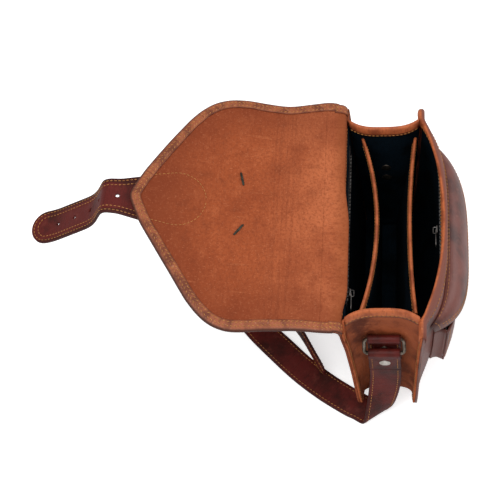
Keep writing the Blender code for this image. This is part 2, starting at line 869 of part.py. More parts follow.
def flap_edge_points(start, end):
    """The flap's outer edge on its +X side, from one distance along to another."""
    points = [(start, flap_half_at(start / flap_length))]
    for share, half in flap_edge_shares:
        if start < share * flap_length < end:
            points.append((share * flap_length, half * flap_half))
    points.append((end, flap_half_at(end / flap_length)))
    return points


def mirrored(points):
    return [(along, -across) for along, across in reversed(points)]


def edge_channel_rings(path, inward):
    """A U section that wraps a flat edge; inward is +1 or -1, the side of the path that is leather."""
    outer_up = flap_skin
    inner_up = flap_thick / 2 + gap
    layers = {}
    for depth in (0.0, edge_wall, flap_edge):
        layers[depth] = offset_path(path, inward * depth)
    rings = []
    for i in range(len(path)):
        section = [
            (0.0, outer_up), (flap_edge, outer_up), (flap_edge, inner_up), (edge_wall, inner_up),
            (edge_wall, -inner_up), (flap_edge, -inner_up), (flap_edge, -outer_up), (0.0, -outer_up),
        ]
        rings.append([flap_point(layers[depth][i].x, layers[depth][i].y, up) for depth, up in section])
    return rings


def flap_prism(name, material, outline, low, high, carrier):
    rings = [[flap_point(a, c, up) for a, c in outline] for up in (low, high)]
    return loft(name, material, rings, carrier=carrier)


def flap_pieces():
    inset = edge_wall + gap
    hinge = pivot("flap_hinge_axis", flap_point(0, 0, 0))
    top_end = flap_fold - fold_gap
    sides = offset_path(flap_edge_points(0.0, top_end), -inset)
    outline = [(p.x, p.y) for p in sides]
    outline[0] = (0.0, outline[0][1])
    outline[-1] = (top_end, outline[-1][1])
    top = flap_prism("flap_top", suede, outline + mirrored(outline), -flap_thick / 2, flap_thick / 2, hinge)

    path = flap_edge_points(flap_edge_start, top_end)
    loft("flap_right_edge", edge_hide, edge_channel_rings(path, -1), carrier=hinge)
    loft("flap_left_edge", edge_hide, edge_channel_rings(mirrored(path), -1), carrier=hinge)

    fold = pivot("flap_fold_axis", flap_point(flap_fold, 0, flap_skin))
    front_start = flap_fold + fold_gap
    half_path = flap_edge_points(front_start, flap_length)
    path = half_path + mirrored(half_path)[1:]
    inner = offset_path(path, -inset)
    outline = [(p.x, p.y) for p in inner]
    outline[0] = (front_start, outline[0][1])
    outline[-1] = (front_start, outline[-1][1])
    flap_prism("flap_front", suede, outline, -flap_thick / 2, flap_thick / 2, fold)
    loft("flap_front_edge", edge_hide, edge_channel_rings(path, -1), carrier=fold)

    for prefix, side in (("left", -1), ("right", 1)):
        bm = bmesh.new()
        add_stud(bm, side)
        finish(prefix + "_flap_stud", bm, aged_brass, hinge)
        centre = flap_point(stud_along, side * stud_across, 0)
        up = flap_point(0, 0, 1) - flap_point(0, 0, 0)
        bore(top, centre - up * flap_thick, centre + up * flap_thick, stud_shank + gap)
    closure_pieces(fold)


def add_stud(bm, side):
    """A split stud: a domed head outside, a shank through the flap, two legs opened flat on the inner side."""
    up = flap_point(0, 0, 1) - flap_point(0, 0, 0)
    half = flap_thick / 2
    head = half + gap
    legs = half + gap
    spot = flap_point(stud_along, side * stud_across, 0)
    profile = [
        (-head - stud_head_thick, stud_head * 0.55), (-head - stud_head_thick * 0.45, stud_head * 0.9),
        (-head, stud_head), (-head + gap / 3, stud_shank), (legs - gap / 3, stud_shank),
        (legs, stud_leg_width / 2 * 1.02), (legs + stud_leg_thick * 0.9, stud_leg_width / 2 * 1.02),
    ]
    shank = bmesh.new()
    add_turned(shank, spot, up, profile)
    bar = bmesh.new()
    tilt = math.radians(14 if side > 0 else -35)
    corners = [(-stud_leg, -0.5), (stud_leg, -0.5), (stud_leg, 0.5), (-stud_leg, 0.5)]
    rings = []
    for level in (legs, legs + stud_leg_thick):
        ring = []
        for reach, wide in corners:
            breadth = wide * stud_leg_width
            along = stud_along + reach * math.sin(tilt) + breadth * math.cos(tilt)
            across = side * stud_across + reach * math.cos(tilt) - breadth * math.sin(tilt)
            ring.append(flap_point(along, across, level))
        rings.append(ring)
    add_loft(bar, rings)
    for part in (shank, bar):
        bmesh.ops.recalc_face_normals(part, faces=part.faces[:])
    joined = union_of(shank, bar)
    bm.from_mesh(joined)
    bpy.data.meshes.remove(joined)


def union_of(first, second):
    """One closed mesh from two overlapping ones."""
    made = []
    for part in (first, second):
        mesh = bpy.data.meshes.new("half")
        part.to_mesh(mesh)
        part.free()
        item = bpy.data.objects.new("half", mesh)
        bpy.context.scene.collection.objects.link(item)
        made.append(item)
    modifier = made[0].modifiers.new("join", "BOOLEAN")
    modifier.operation = "UNION"
    modifier.object = made[1]
    bpy.context.view_layer.update()
    graph = bpy.context.evaluated_depsgraph_get()
    joined = bpy.data.meshes.new_from_object(made[0].evaluated_get(graph))
    for item in made:
        bpy.data.objects.remove(item, do_unlink=True)
    return joined


def closure_pieces(fold):
    high = -flap_skin - gap
    low = high - closure_thick
    centre = closure_base_start + closure_base_half
    shoulder = closure_base_half * 0.80
    half = closure_width / 2
    turned = [(centre + a * closure_base_half, c * closure_base_half)
              for a, c in arc((0, 0), 1.0, 90, 270, 10)]
    narrow_at = flap_length + (closure_bend - flap_length) * 0.4
    neck = [(flap_length - closure_base_half / 3, shoulder), (narrow_at, half + half * 0.04),
            (closure_bend - closure_set_back, half)]
    outline = list(reversed(neck)) + turned + [(a, -c) for a, c in neck]
    base = flap_prism("closure_base", strap_hide, outline, low, high, fold)
    hole_at = closure_bend + closure_first_hole
    bore(base, flap_point(hole_at, 0, low - leather), flap_point(hole_at, 0, high + leather), closure_hole)

    middle = (low + high) / 2
    axis = flap_point(closure_bend, 0, middle)
    bend = pivot("closure_bend_axis", axis)
    angle = flap_rise - closure_droop
    ahead = Vector((0, math.cos(angle), math.sin(angle)))
    up = Vector((0, -math.sin(angle), math.cos(angle)))

    def place(along, across, above):
        return axis + ahead * along + up * above + Vector((across, 0, 0))
    nose = closure_width * 0.45
    tip = [(closure_length - nose + nose * a, half * c) for a, c in arc((0, 0), 1.0, 90, -90, 10)]
    outline = [(closure_set_back, half)] + tip + [(closure_set_back, -half)]
    rings = [[place(a, c, side * closure_thick / 2) for a, c in outline] for side in (-1, 1)]
    made = loft("closure_strap", strap_hide, rings, carrier=bend)
    for i in range(1, closure_hole_count):
        at = closure_first_hole + i * closure_hole_pitch
        bore(made, place(at, 0, -leather * 2), place(at, 0, leather * 2), closure_hole)


# The front pocket

def pocket_face(x, z):
    return front_face(x, z) - gap - pocket_depth - gap


def pocket_pieces():
    centre_x, centre_z = pocket_half - pocket_corner, pocket_bottom + pocket_corner
    turn = arc((centre_x, centre_z), pocket_corner, 0, -90, 5)
    right = [(pocket_half, pocket_top)]
    right += [(pocket_half, z) for z in reversed(body_levels) if centre_z < z < pocket_top] + turn
    line = right + [(x, pocket_bottom) for x in reversed(columns_to(centre_x)[:-1]) if x >= 0]
    line += [(-x, z) for x, z in reversed(line[:-1])]
    inner = offset_path(line, -pocket_gusset)
    outer = offset_path(line, 0.0)
    rings = []
    for near, far in zip(outer, inner):
        back_a, back_b = front_face(near.x, near.y) - gap, front_face(far.x, far.y) - gap
        rings.append([
            Vector((near.x, back_a - pocket_depth, near.y)), Vector((near.x, back_a, near.y)),
            Vector((far.x, back_b, far.y)), Vector((far.x, back_b - pocket_depth, far.y)),
        ])
    loft("pocket_gusset", outer_leather, rings)

    levels = [z for z in body_levels if pocket_bottom < z < pocket_top] + [centre_z, pocket_top]
    levels += [pocket_bottom + pocket_corner * share for share in (0, 0.14, 0.45)]
    levels.sort()

    def place(depth):
        def spot(column, z):
            fall = max(0.0, centre_z - z)
            half = centre_x + math.sqrt(max(0.0, pocket_corner**2 - fall**2))
            extra = max(0.0, abs(column) - centre_x) * (half - centre_x) / pocket_corner
            x = math.copysign(min(abs(column), centre_x) + extra, column)
            return Vector((x, pocket_face(x, z) - depth, z))
        return spot
    columns = columns_to(pocket_half, (centre_x,))
    sheet("pocket_front", outer_leather, columns, levels, place(0.0), place(pocket_leather))


def pocket_flap_pieces():
    axis_y = front_face(0, pocket_flap_top) - gap - pocket_leather / 2
    hinge = pivot("pocket_flap_axis", Vector((0, axis_y, pocket_flap_top)))

    def skin(x, q):
        bulge = max(0.0, 1 - (abs(x) / pocket_flap_bulge_half) ** 3)
        out = pocket_flap_reach * bulge**0.7
        down = pocket_flap_end_drop + pocket_flap_drop * bulge
        start = front_face(x, pocket_flap_top) - gap * 2
        angle = q * math.pi / 2
        return Vector((x, start - out * math.sin(angle), pocket_flap_top - down * (1 - math.cos(angle))))

    def under(x, q):
        step = 0.01
        slope = skin(x, q + step) - skin(x, q)
        inward = Vector((0, -slope.z, slope.y)).normalized()
        if inward.y < 0:
            inward = -inward
        if q == 0:
            inward = Vector((0, 0, -1))
        return skin(x, q) + inward * pocket_leather
    right_shares = (0.2, 0.42, 0.62, 0.8, 0.92, 1)
    column_shares = [-share for share in reversed(right_shares)] + [0] + list(right_shares)
    xs = [pocket_flap_half * share for share in column_shares]
    sheet("pocket_flap", outer_leather, xs, (0, 0.25, 0.5, 0.75, 1), skin, under, carrier=hinge)


# The front buckle

def buckle_frame_axes():
    """A frame on the front wall under the pocket: place(across, up the wall, out from it)."""
    step = 0.001
    low = Vector((0, front_face(0, chape_height - step), chape_height - step))
    high = Vector((0, front_face(0, chape_height + step), chape_height + step))
    up = (high - low).normalized()
    out = Vector((0, -up.z, up.y))
    origin = (low + high) / 2

    def place(across, rise, away):
        return origin + Vector((across, 0, 0)) + up * rise + out * away
    return place, up, out


def hairpin(start, bar, loop, inner_layer, outer_layer, steps=8):
    """A path from start, up one side of a bar, over it, and back down the other side to start again."""
    low, meet = start
    at, level = bar
    near = -1 if inner_layer < outer_layer else 1
    path = [(inner_layer, low), (inner_layer, meet), (at + near * loop, level)]
    swing = arc(bar, loop, 180 if near < 0 else 0, 0 if near < 0 else 180, steps)
    return path + swing[1:] + [(outer_layer, meet), (outer_layer, low)]


def front_buckle():
    place, up, out = buckle_frame_axes()
    back = gap + chape_thick / 2
    loop = buckle_bar + loop_clearance + chape_thick / 2
    bar_out = back + loop
    front = back + chape_thick + gap
    path = hairpin((-chape_reach, buckle_bar_up - loop * 3.2), (bar_out, buckle_bar_up), loop, back, front)
    bm = bmesh.new()
    add_strip(bm, path, chape_thick, lambda a, b, c: place(c, b, a), -chape_width / 2, chape_width / 2)
    chape = finish("buckle_chape", bm, strap_hide)
    notch = prong_radius + gap * 2
    notch_low = -(buckle_bar + prong_radius * 2 + gap * 3)
    corners = [(-notch, notch_low), (notch, notch_low), (notch, loop * 2), (-notch, loop * 2)]
    bm = bmesh.new()
    reach = (-gap, bar_out + loop * 3)
    add_loft(bm, [[place(a, buckle_bar_up + b, away) for a, b in corners] for away in reach])
    cut(chape, bm)

    rivet_up = -chape_reach / 4
    rivet_out = front + chape_thick / 2 + gap
    bm = bmesh.new()
    add_turned(bm, place(0, rivet_up, 0), out, [
        (-leather * 0.8, rivet_radius), (rivet_out - gap / 2, rivet_radius),
        (rivet_out, rivet_head), (rivet_out + rivet_head_thick, rivet_head * 0.8)])
    finish("buckle_rivet", bm, bright_steel)
    bore(chape, place(0, rivet_up, -gap), place(0, rivet_up, rivet_out + leather), rivet_radius + gap)

    axis = place(0, buckle_bar_up, bar_out)
    swing = pivot("buckle_axis", axis)
    half = buckle_inner / 2 + buckle_bar
    loop_points = rounded_loop(half, 0.0, buckle_length, buckle_corner)
    bm = bmesh.new()
    add_bar_loop(bm, [axis + Vector((a, 0, 0)) + up * b for a, b in loop_points], out, buckle_bar)
    finish("buckle_frame", bm, aged_brass, swing)

    prong_turn = pivot("buckle_prong_axis", axis)
    eye = buckle_bar + gap
    reach = buckle_length + prong_over
    over = buckle_bar + gap + prong_radius
    path = [(b, a) for a, b in arc((0, 0), over, 200, 360, 9)]
    path += [(buckle_length * 0.5, over + eye * 0.3), (reach, over)]
    bm = bmesh.new()
    add_strip(bm, path, prong_radius * 2, lambda a, b, c: axis + up * a + out * b + Vector((c, 0, 0)),
              -prong_radius, prong_radius)
    finish("buckle_prong", bm, aged_brass, prong_turn)

    keep_in = chape_width / 2 + gap * 2 + keeper_thick / 2
    top = front + chape_thick / 2 + keeper_space + keeper_thick / 2
    foot = gap + keeper_thick / 2
    path = [(-keep_in - keeper_foot, foot), (-keep_in, foot), (-keep_in, top), (keep_in, top), (keep_in, foot),
            (keep_in + keeper_foot, foot)]
    bm = bmesh.new()
    add_strip(bm, path, keeper_thick, lambda a, b, c: place(a, c, b), -keeper_down - keeper_width / 2,
              -keeper_down + keeper_width / 2)
    finish("buckle_keeper", bm, strap_hide)


# Rings, tabs and the folded strap ends

def side_point(side):
    return lambda a, b, c: Vector((side * a, c, b))


def ring_pieces(prefix, side, gusset_piece, lining_piece):
    place = side_point(side)
    front = tab_back + tab_thick + gap
    bar = (ring_x, ring_height)
    path = hairpin((tab_bottom, ring_height - ring_loop * 3.6), bar, ring_loop, tab_back, front)
    bm = bmesh.new()
    add_strip(bm, path, tab_thick, place, -tab_width / 2, tab_width / 2)
    tab = finish(prefix + "_ring_tab", bm, strap_hide)

    inside = plateau_x - gusset_leather - gap - cloth
    outside = front + tab_thick / 2
    for rank, z in zip(("lower", "upper"), tab_rivets_z):
        profile = [
            (inside - gap - rivet_head_thick, rivet_head * 0.8), (inside - gap, rivet_head * 0.85),
            (inside - gap * 0.9, rivet_radius), (outside + gap * 0.9, rivet_radius),
            (outside + gap, rivet_head), (outside + gap + rivet_head_thick, rivet_head * 0.75),
        ]
        bm = bmesh.new()
        add_turned(bm, place(0, z, 0), (side, 0, 0), profile)
        finish(f"{prefix}_tab_{rank}_rivet", bm, aged_brass)
        for piece in (tab, gusset_piece, lining_piece):
            bore(piece, place(inside - leather, z, 0), place(outside + leather, z, 0), rivet_radius + gap)

    axis = place(ring_x, ring_height, 0)
    swing = pivot(prefix + "_ring_axis", axis)
    down = Vector((side * math.sin(ring_tilt), 0, -math.cos(ring_tilt)))
    normal = Vector((0, 1, 0)).cross(down).normalized()
    half = strap_width / 2 + strap_side_gap + ring_bar
    bm = bmesh.new()
    points = rounded_loop(half, 0.0, ring_span, ring_corner)
    add_bar_loop(bm, [axis + Vector((0, a, 0)) + down * b for a, b in points], normal, ring_bar)
    finish(prefix + "_ring", bm, aged_brass, swing)

    bar = (low_x, low_z)
    path = hairpin((strap_low, low_z - strap_loop * 3), bar, strap_loop, low_x - strap_layer, hang_x)
    bm = bmesh.new()
    add_strip(bm, path, strap_thick, place, -strap_width / 2, strap_width / 2)
    end = finish(prefix + "_strap_end", bm, strap_hide, swing)
    rivet_z = low_z - strap_rivet_down
    face = strap_layer + strap_thick / 2 + gap
    bm = bmesh.new()
    add_turned(bm, place(low_x, rivet_z, 0), (side, 0, 0), [
        (-face - rivet_head_thick * 0.7, rivet_head * 0.8), (-face, rivet_head),
        (-face + gap / 3, rivet_radius), (face - gap / 3, rivet_radius), (face, strap_rivet_head),
        (face + rivet_head_thick, strap_rivet_head * 0.8)])
    finish(prefix + "_strap_rivet", bm, bright_steel, swing)
    bore(end, place(low_x - face * 2, rivet_z, 0), place(low_x + face * 2, rivet_z, 0), rivet_radius + gap)


def strap_buckle(long_strap):
    """The buckle that joins the two parts of the shoulder strap; its front faces the bag."""
    centre = strap_buckle_at
    bar_x = centre.x - strap_buckle_length / 2
    half = strap_buckle_inner / 2 + buckle_bar
    points = rounded_loop(half, 0.0, strap_buckle_length, buckle_corner)
    bm = bmesh.new()
    corners = [Vector((bar_x + b, centre.y, centre.z + a)) for a, b in points]
    add_bar_loop(bm, corners, Vector((0, 1, 0)), buckle_bar)
    finish("strap_buckle_frame", bm, aged_brass)

    loop = buckle_bar + loop_clearance + chape_thick / 2
    layer = chape_thick / 2 + gap / 2
    swing = arc((0, 0), loop, 90, -90, 8)
    path = [(-strap_loop_length, layer), (-loop * 3.2, layer)] + swing
    path += [(-loop * 3.2, -layer), (-strap_loop_length, -layer)]
    bm = bmesh.new()
    add_strip(bm, path, chape_thick, lambda a, b, c: Vector((bar_x + a, centre.y + b, centre.z + c)),
              -strap_width / 2, strap_width / 2)
    chape = finish("strap_buckle_loop", bm, strap_hide)
    notch = prong_radius + gap * 2
    notch_low = -(buckle_bar + prong_radius * 2 + gap * 3)
    corners = [(notch_low, -notch), (loop * 2, -notch), (loop * 2, notch), (notch_low, notch)]
    bm = bmesh.new()
    add_loft(bm, [[Vector((bar_x + a, centre.y + away, centre.z + b)) for a, b in corners]
                  for away in (-loop * 3, loop * 3)])
    cut(chape, bm)

    over = buckle_bar + gap + prong_radius
    path = arc((0, 0), over, 100, 270, 8) + [(strap_buckle_length + prong_over, -over)]
    bm = bmesh.new()
    add_strip(bm, path, prong_radius * 2, lambda a, b, c: Vector((bar_x + a, centre.y + b, centre.z + c)),
              -prong_radius, prong_radius)
    finish("strap_buckle_prong", bm, aged_brass)
    bore(long_strap, Vector((bar_x + loop * 1.2, centre.y - over, centre.z)),
         Vector((bar_x + strap_buckle_length + loop, centre.y - over, centre.z)), prong_radius + gap * 3)


# Assembly
inside_y = base_depth / 2 - leather - gap
flat_plate("bottom_panel", outer_leather, gusset_stations[0][0].x - gap, inside_y, 0.0, gusset_leather)
board_low = gusset_leather + gap
board_high = board_low + board
flat_plate("base_board", board_fibre, corner_centre, inside_y - cloth, board_low, board_high)
cloth_half = corner_centre + seam_edge / 2
flat_plate("bottom_lining", lining_cloth, cloth_half, inside_y - wall_depth, board_high + gap, floor_top)
back_panel()
front_panel()
wall_lining("back_lining", back_wall, 1, back_zip_half)
wall_lining("front_lining", front_face, -1, front_zip_half)
zip_strip("back_zip", back_wall, 1, back_zip_half)
zip_strip("front_zip", front_face, -1, front_zip_half)
zip_slider("back_zip", back_wall, 1, back_slider_x, -back_slider_x)
zip_slider("front_zip", front_face, -1, front_slider_x, front_zip_half - slider_length)
divider("back_divider", divider_y(1, back_divider_top, back_divider_bow))
divider("front_divider", divider_y(-1, front_divider_top, front_divider_bow))
front_mouth_edge()
pieces = {}
for prefix, side in (("left", -1), ("right", 1)):
    pieces[prefix] = (gusset(prefix + "_gusset", side), gusset_lining(prefix + "_lining", side))
    side_mouth_edge(prefix + "_mouth_edge", side)
    ring_pieces(prefix, side, *pieces[prefix])
flap_pieces()
pocket_pieces()
pocket_flap_pieces()
front_buckle()
left_end = strap_buckle_at.copy()
left_end.x -= strap_buckle_length / 2 + strap_loop_length + gap * 2
left_route = hanging(left_drop_shares) + lying(left_floor_shares) + [(left_end, Vector((0, 0, 1)))]
strap_pair("left", left_route, 3, len(left_drop_shares) - 1)
right_route = hanging(right_drop_shares) + lying(right_floor_shares) + at_buckle(right_buckle_shares)
right_route += lying(right_tail_shares)
tail_round = strap_width * 0.45
strap_buckle(strap_pair("right", right_route, 2, len(right_drop_shares) - 1, tail_round))
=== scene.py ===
import math

import bmesh
import bpy
from mathutils import Matrix, Vector, noise


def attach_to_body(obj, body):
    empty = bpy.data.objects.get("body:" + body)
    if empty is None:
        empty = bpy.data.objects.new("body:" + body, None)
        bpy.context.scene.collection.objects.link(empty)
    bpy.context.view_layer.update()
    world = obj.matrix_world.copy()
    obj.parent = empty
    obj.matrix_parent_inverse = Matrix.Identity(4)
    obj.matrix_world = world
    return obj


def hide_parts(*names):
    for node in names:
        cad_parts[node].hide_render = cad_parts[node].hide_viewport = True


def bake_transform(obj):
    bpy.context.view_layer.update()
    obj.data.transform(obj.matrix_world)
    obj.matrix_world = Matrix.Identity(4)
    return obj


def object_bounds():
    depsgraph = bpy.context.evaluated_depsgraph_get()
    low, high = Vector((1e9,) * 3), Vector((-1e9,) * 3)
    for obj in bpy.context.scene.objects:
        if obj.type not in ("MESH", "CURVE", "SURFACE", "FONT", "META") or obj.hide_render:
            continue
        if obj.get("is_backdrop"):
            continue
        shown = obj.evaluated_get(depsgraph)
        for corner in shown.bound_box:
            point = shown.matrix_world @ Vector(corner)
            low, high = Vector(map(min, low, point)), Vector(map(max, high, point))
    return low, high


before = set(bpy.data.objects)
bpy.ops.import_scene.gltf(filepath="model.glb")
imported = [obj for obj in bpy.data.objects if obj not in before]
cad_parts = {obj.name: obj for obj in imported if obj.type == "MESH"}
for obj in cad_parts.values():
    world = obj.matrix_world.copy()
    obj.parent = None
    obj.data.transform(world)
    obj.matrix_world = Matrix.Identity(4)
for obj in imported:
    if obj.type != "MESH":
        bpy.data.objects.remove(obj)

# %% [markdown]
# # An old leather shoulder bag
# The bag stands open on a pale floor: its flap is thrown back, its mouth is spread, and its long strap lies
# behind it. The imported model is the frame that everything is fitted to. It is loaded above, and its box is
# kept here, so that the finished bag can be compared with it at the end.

packed_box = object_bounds()

bag_height = 0.203
base_depth = 0.062
mouth_depth = 0.084
seam_half = 0.118
seam_edge = 0.009
corner_radius = 0.026
corner_centre = seam_half - corner_radius
front_bow = 0.022
bow_height = 0.110
bow_even_height = 0.183
hide = 0.0024
gap = 0.0003
cloth = 0.0010
wall = hide + gap + cloth
strap_width = 0.033
ends = (("left", -1), ("right", 1))

# %% [markdown]
# ## The camera
# A camera is a place, a direction and a lens. The bag was looked at steeply from above, from its narrow
# side, so the mouth faces the camera and the flap reaches to the left. The matrix below holds the camera's
# right, its up and its backward direction as columns. A long lens keeps the bag's sides nearly parallel.

# %% Camera
lens_millimetres = 90
camera_place = Vector((-0.6441, -0.0419, 1.3113))
camera_right = Vector((0.0594, -0.9903, -0.1254)).normalized()
camera_down = Vector((-0.8781, 0.0079, -0.4784)).normalized()
camera_back = camera_right.cross(-camera_down).normalized()
camera_up = camera_back.cross(camera_right)
eye = bpy.data.cameras.new("viewpoint")
eye.lens = lens_millimetres
eye.sensor_width = 36
eye.clip_end = 20
camera = bpy.data.objects.new("viewpoint", eye)
columns = (camera_right, camera_up, camera_back)
camera.matrix_world = Matrix([[column[row] for column in columns] + [camera_place[row]] for row in range(3)]
                             + [[0, 0, 0, 1]])
bpy.context.scene.collection.objects.link(camera)
bpy.context.scene.camera = camera
print("camera distance to the bag:", round((camera_place - Vector((0, 0, 0.15))).length, 3))

# %% [markdown]
# ## Writing materials as sums
# A node material is a formula, so it reads best as one. A Wire holds one socket; adding or multiplying
# wires adds the Math nodes. A Finish is one material: its node() method makes any other node from its type,
# its settings and its inputs, streaks() is noise drawn out on a piece's flat pattern, and coats() paints
# one colour over another.

# %% Wires


class Wire:
    def __init__(self, finish, socket):
        self.finish, self.socket = finish, socket

    def math(self, operation, first, second=0.0):
        return self.finish.node("ShaderNodeMath", {"operation": operation}, {0: first, 1: second})

    def __add__(self, other):
        return self.math("ADD", self, other)

    def __sub__(self, other):
        return self.math("SUBTRACT", self, other)

    def __rsub__(self, other):
        return self.math("SUBTRACT", other, self)

    def __mul__(self, other):
        return self.math("MULTIPLY", self, other)

    def most(self, other):
        return self.math("MAXIMUM", self, other)

    def size(self):
        return self.math("ABSOLUTE", self)

    def ramp(self, low, high):
        """0 below low, 1 above high, and smooth between."""
        inputs = {"Value": self, "From Min": low, "From Max": high}
        return self.finish.node("ShaderNodeMapRange", {"interpolation_type": "SMOOTHSTEP"}, inputs)


print("wires ready")

# %% Finishes


class Finish:
    def __init__(self, name, roughness=0.5, metallic=0.0, coat=0.0, gloss=0.5):
        self.material = bpy.data.materials.new(name)
        self.material.use_nodes = True
        self.nodes, self.links = self.material.node_tree.nodes, self.material.node_tree.links
        self.shader = self.nodes["Principled BSDF"]
        for socket, value in (("Roughness", roughness), ("Metallic", metallic), ("Coat Weight", coat),
                              ("Coat Roughness", 0.28), ("Specular IOR Level", gloss)):
            self.shader.inputs[socket].default_value = value

    def node(self, kind, settings=None, inputs=None, output=None):
        made = self.nodes.new(kind)
        for key, value in (settings or {}).items():
            setattr(made, key, value)
        for key, value in (inputs or {}).items():
            socket = made.inputs[key]
            if isinstance(value, Wire):
                self.links.new(value.socket, socket)
            elif isinstance(value, tuple) and socket.type == "RGBA":
                socket.default_value = (*value, 1.0)
            else:
                socket.default_value = value
        found = made.outputs[output] if output is not None else next(o for o in made.outputs if o.enabled)
        return Wire(self, found)

    def place(self):
        return self.node("ShaderNodeTexCoord", output="Object")

    def flat(self, scale=(1, 1, 1)):
        """The piece's own flat pattern: metres across in x, metres along in y."""
        laid = self.node("ShaderNodeTexCoord", output="UV")
        return self.node("ShaderNodeMapping", {}, {"Vector": laid, "Scale": scale})

    def cloud(self, scale, vector=None, detail=4.0, rough=0.55):
        inputs = {"Vector": vector or self.place(), "Scale": scale, "Detail": detail, "Roughness": rough}
        return self.node("ShaderNodeTexNoise", {}, inputs, "Fac")

    def streaks(self, across, along, detail, rough=0.55):
        return self.cloud(1, self.flat((across, along, 1)), detail, rough)

    def cells(self, scale):
        return self.node("ShaderNodeTexVoronoi", {}, {"Vector": self.place(), "Scale": scale}, "Distance")

    def coats(self, colour, *layers):
        """Paints each (paint, share) over the colour. A Mix node's colours are its 6 and 7, its result is 2."""
        for paint, share in layers:
            colour = self.node("ShaderNodeMix", {"data_type": "RGBA"}, {0: share, 6: colour, 7: paint}, 2)
        return colour

    def part(self, vector, axis):
        return self.node("ShaderNodeSeparateXYZ", {}, {"Vector": vector}, axis)

    def bump(self, height, strength, distance):
        return self.node("ShaderNodeBump", {}, {"Height": height, "Strength": strength, "Distance": distance})

    def wear(self, **looks):
        for socket, wire in looks.items():
            self.links.new(wire.socket, self.shader.inputs[socket.replace("_", " ")])
        return self.material


print("finishes ready")

# %% [markdown]
# ## Leather
# Every skin side here is one recipe with other numbers: large clouds for how the dye took, small cells for
# the grain, and fine specks. Cells give a Bump node the pebbled skin. The straps also have creases across
# them, and darker edges.

# %% Grained leather
grain_depth = 0.0006


def grained_leather(name, deep, body, pale, roughness, coat, gloss, grain=900, crease=None, edges=0.0):
    """crease is the scale of the creases each way, and edges half the width of a strap, in metres."""
    finish = Finish(name, roughness, coat=coat, gloss=gloss)
    dye = finish.cloud(26, detail=6, rough=0.6)
    blotch = finish.cloud(95, detail=5, rough=0.65)
    speck = finish.cloud(620, detail=3)
    height = finish.cells(grain) * 0.6 + finish.cloud(grain * 0.45, detail=3) * 0.7 + blotch * 0.9
    layers = [(deep, dye.ramp(0.44, 0.66)), (pale, blotch.ramp(0.52, 0.78) * 0.65),
              (deep, speck.ramp(0.56, 0.76) * 0.45)]
    if crease:
        lines = finish.streaks(*crease, 4, 0.6)
        height = height + lines * 1.6
        layers.append((deep, lines.ramp(0.52, 0.66) * 0.5))
    if edges:
        across = finish.part(finish.flat(), 0).size()
        layers.append((deep, across.ramp(edges - 0.0022, edges - 0.0002) * 0.85))
    rough = blotch * 0.22 + speck * 0.10 + (roughness - 0.14)
    return finish.wear(Base_Color=finish.coats(body, *layers), Roughness=rough,
                       Normal=finish.bump(height, 0.42, grain_depth))


outer_leather = grained_leather("outer leather", (0.056, 0.012, 0.008), (0.150, 0.034, 0.022),
                                (0.240, 0.082, 0.058), roughness=0.37, coat=0.06, gloss=0.42)
strap_leather = grained_leather("strap leather", (0.040, 0.005, 0.003), (0.110, 0.0110, 0.0080),
                                (0.175, 0.036, 0.025), roughness=0.50, coat=0.03, gloss=0.2,
                                crease=(60, 900), edges=strap_width / 2)
gusset_leather = grained_leather("gusset leather", (0.115, 0.023, 0.008), (0.350, 0.086, 0.030),
                                 (0.50, 0.155, 0.062), roughness=0.64, coat=0.0, gloss=0.15, grain=1300)
print("grained leathers ready")

# %% [markdown]
# The flap shows its flesh side, which is suede: warm brown, mottled by handling, with a dark tide near the tip,
# a stain of handling, and pale scratches. Towards both sides it is darkened too, and that is painted shade
# where the flap's edges droop. Its fold has left fine creases across it. The pattern is read from the flap's
# own flat outline, with metres across in x and metres from the hinge in y, so that it stays with the leather
# when the flap moves.

# %% Suede
flap_length = 0.217


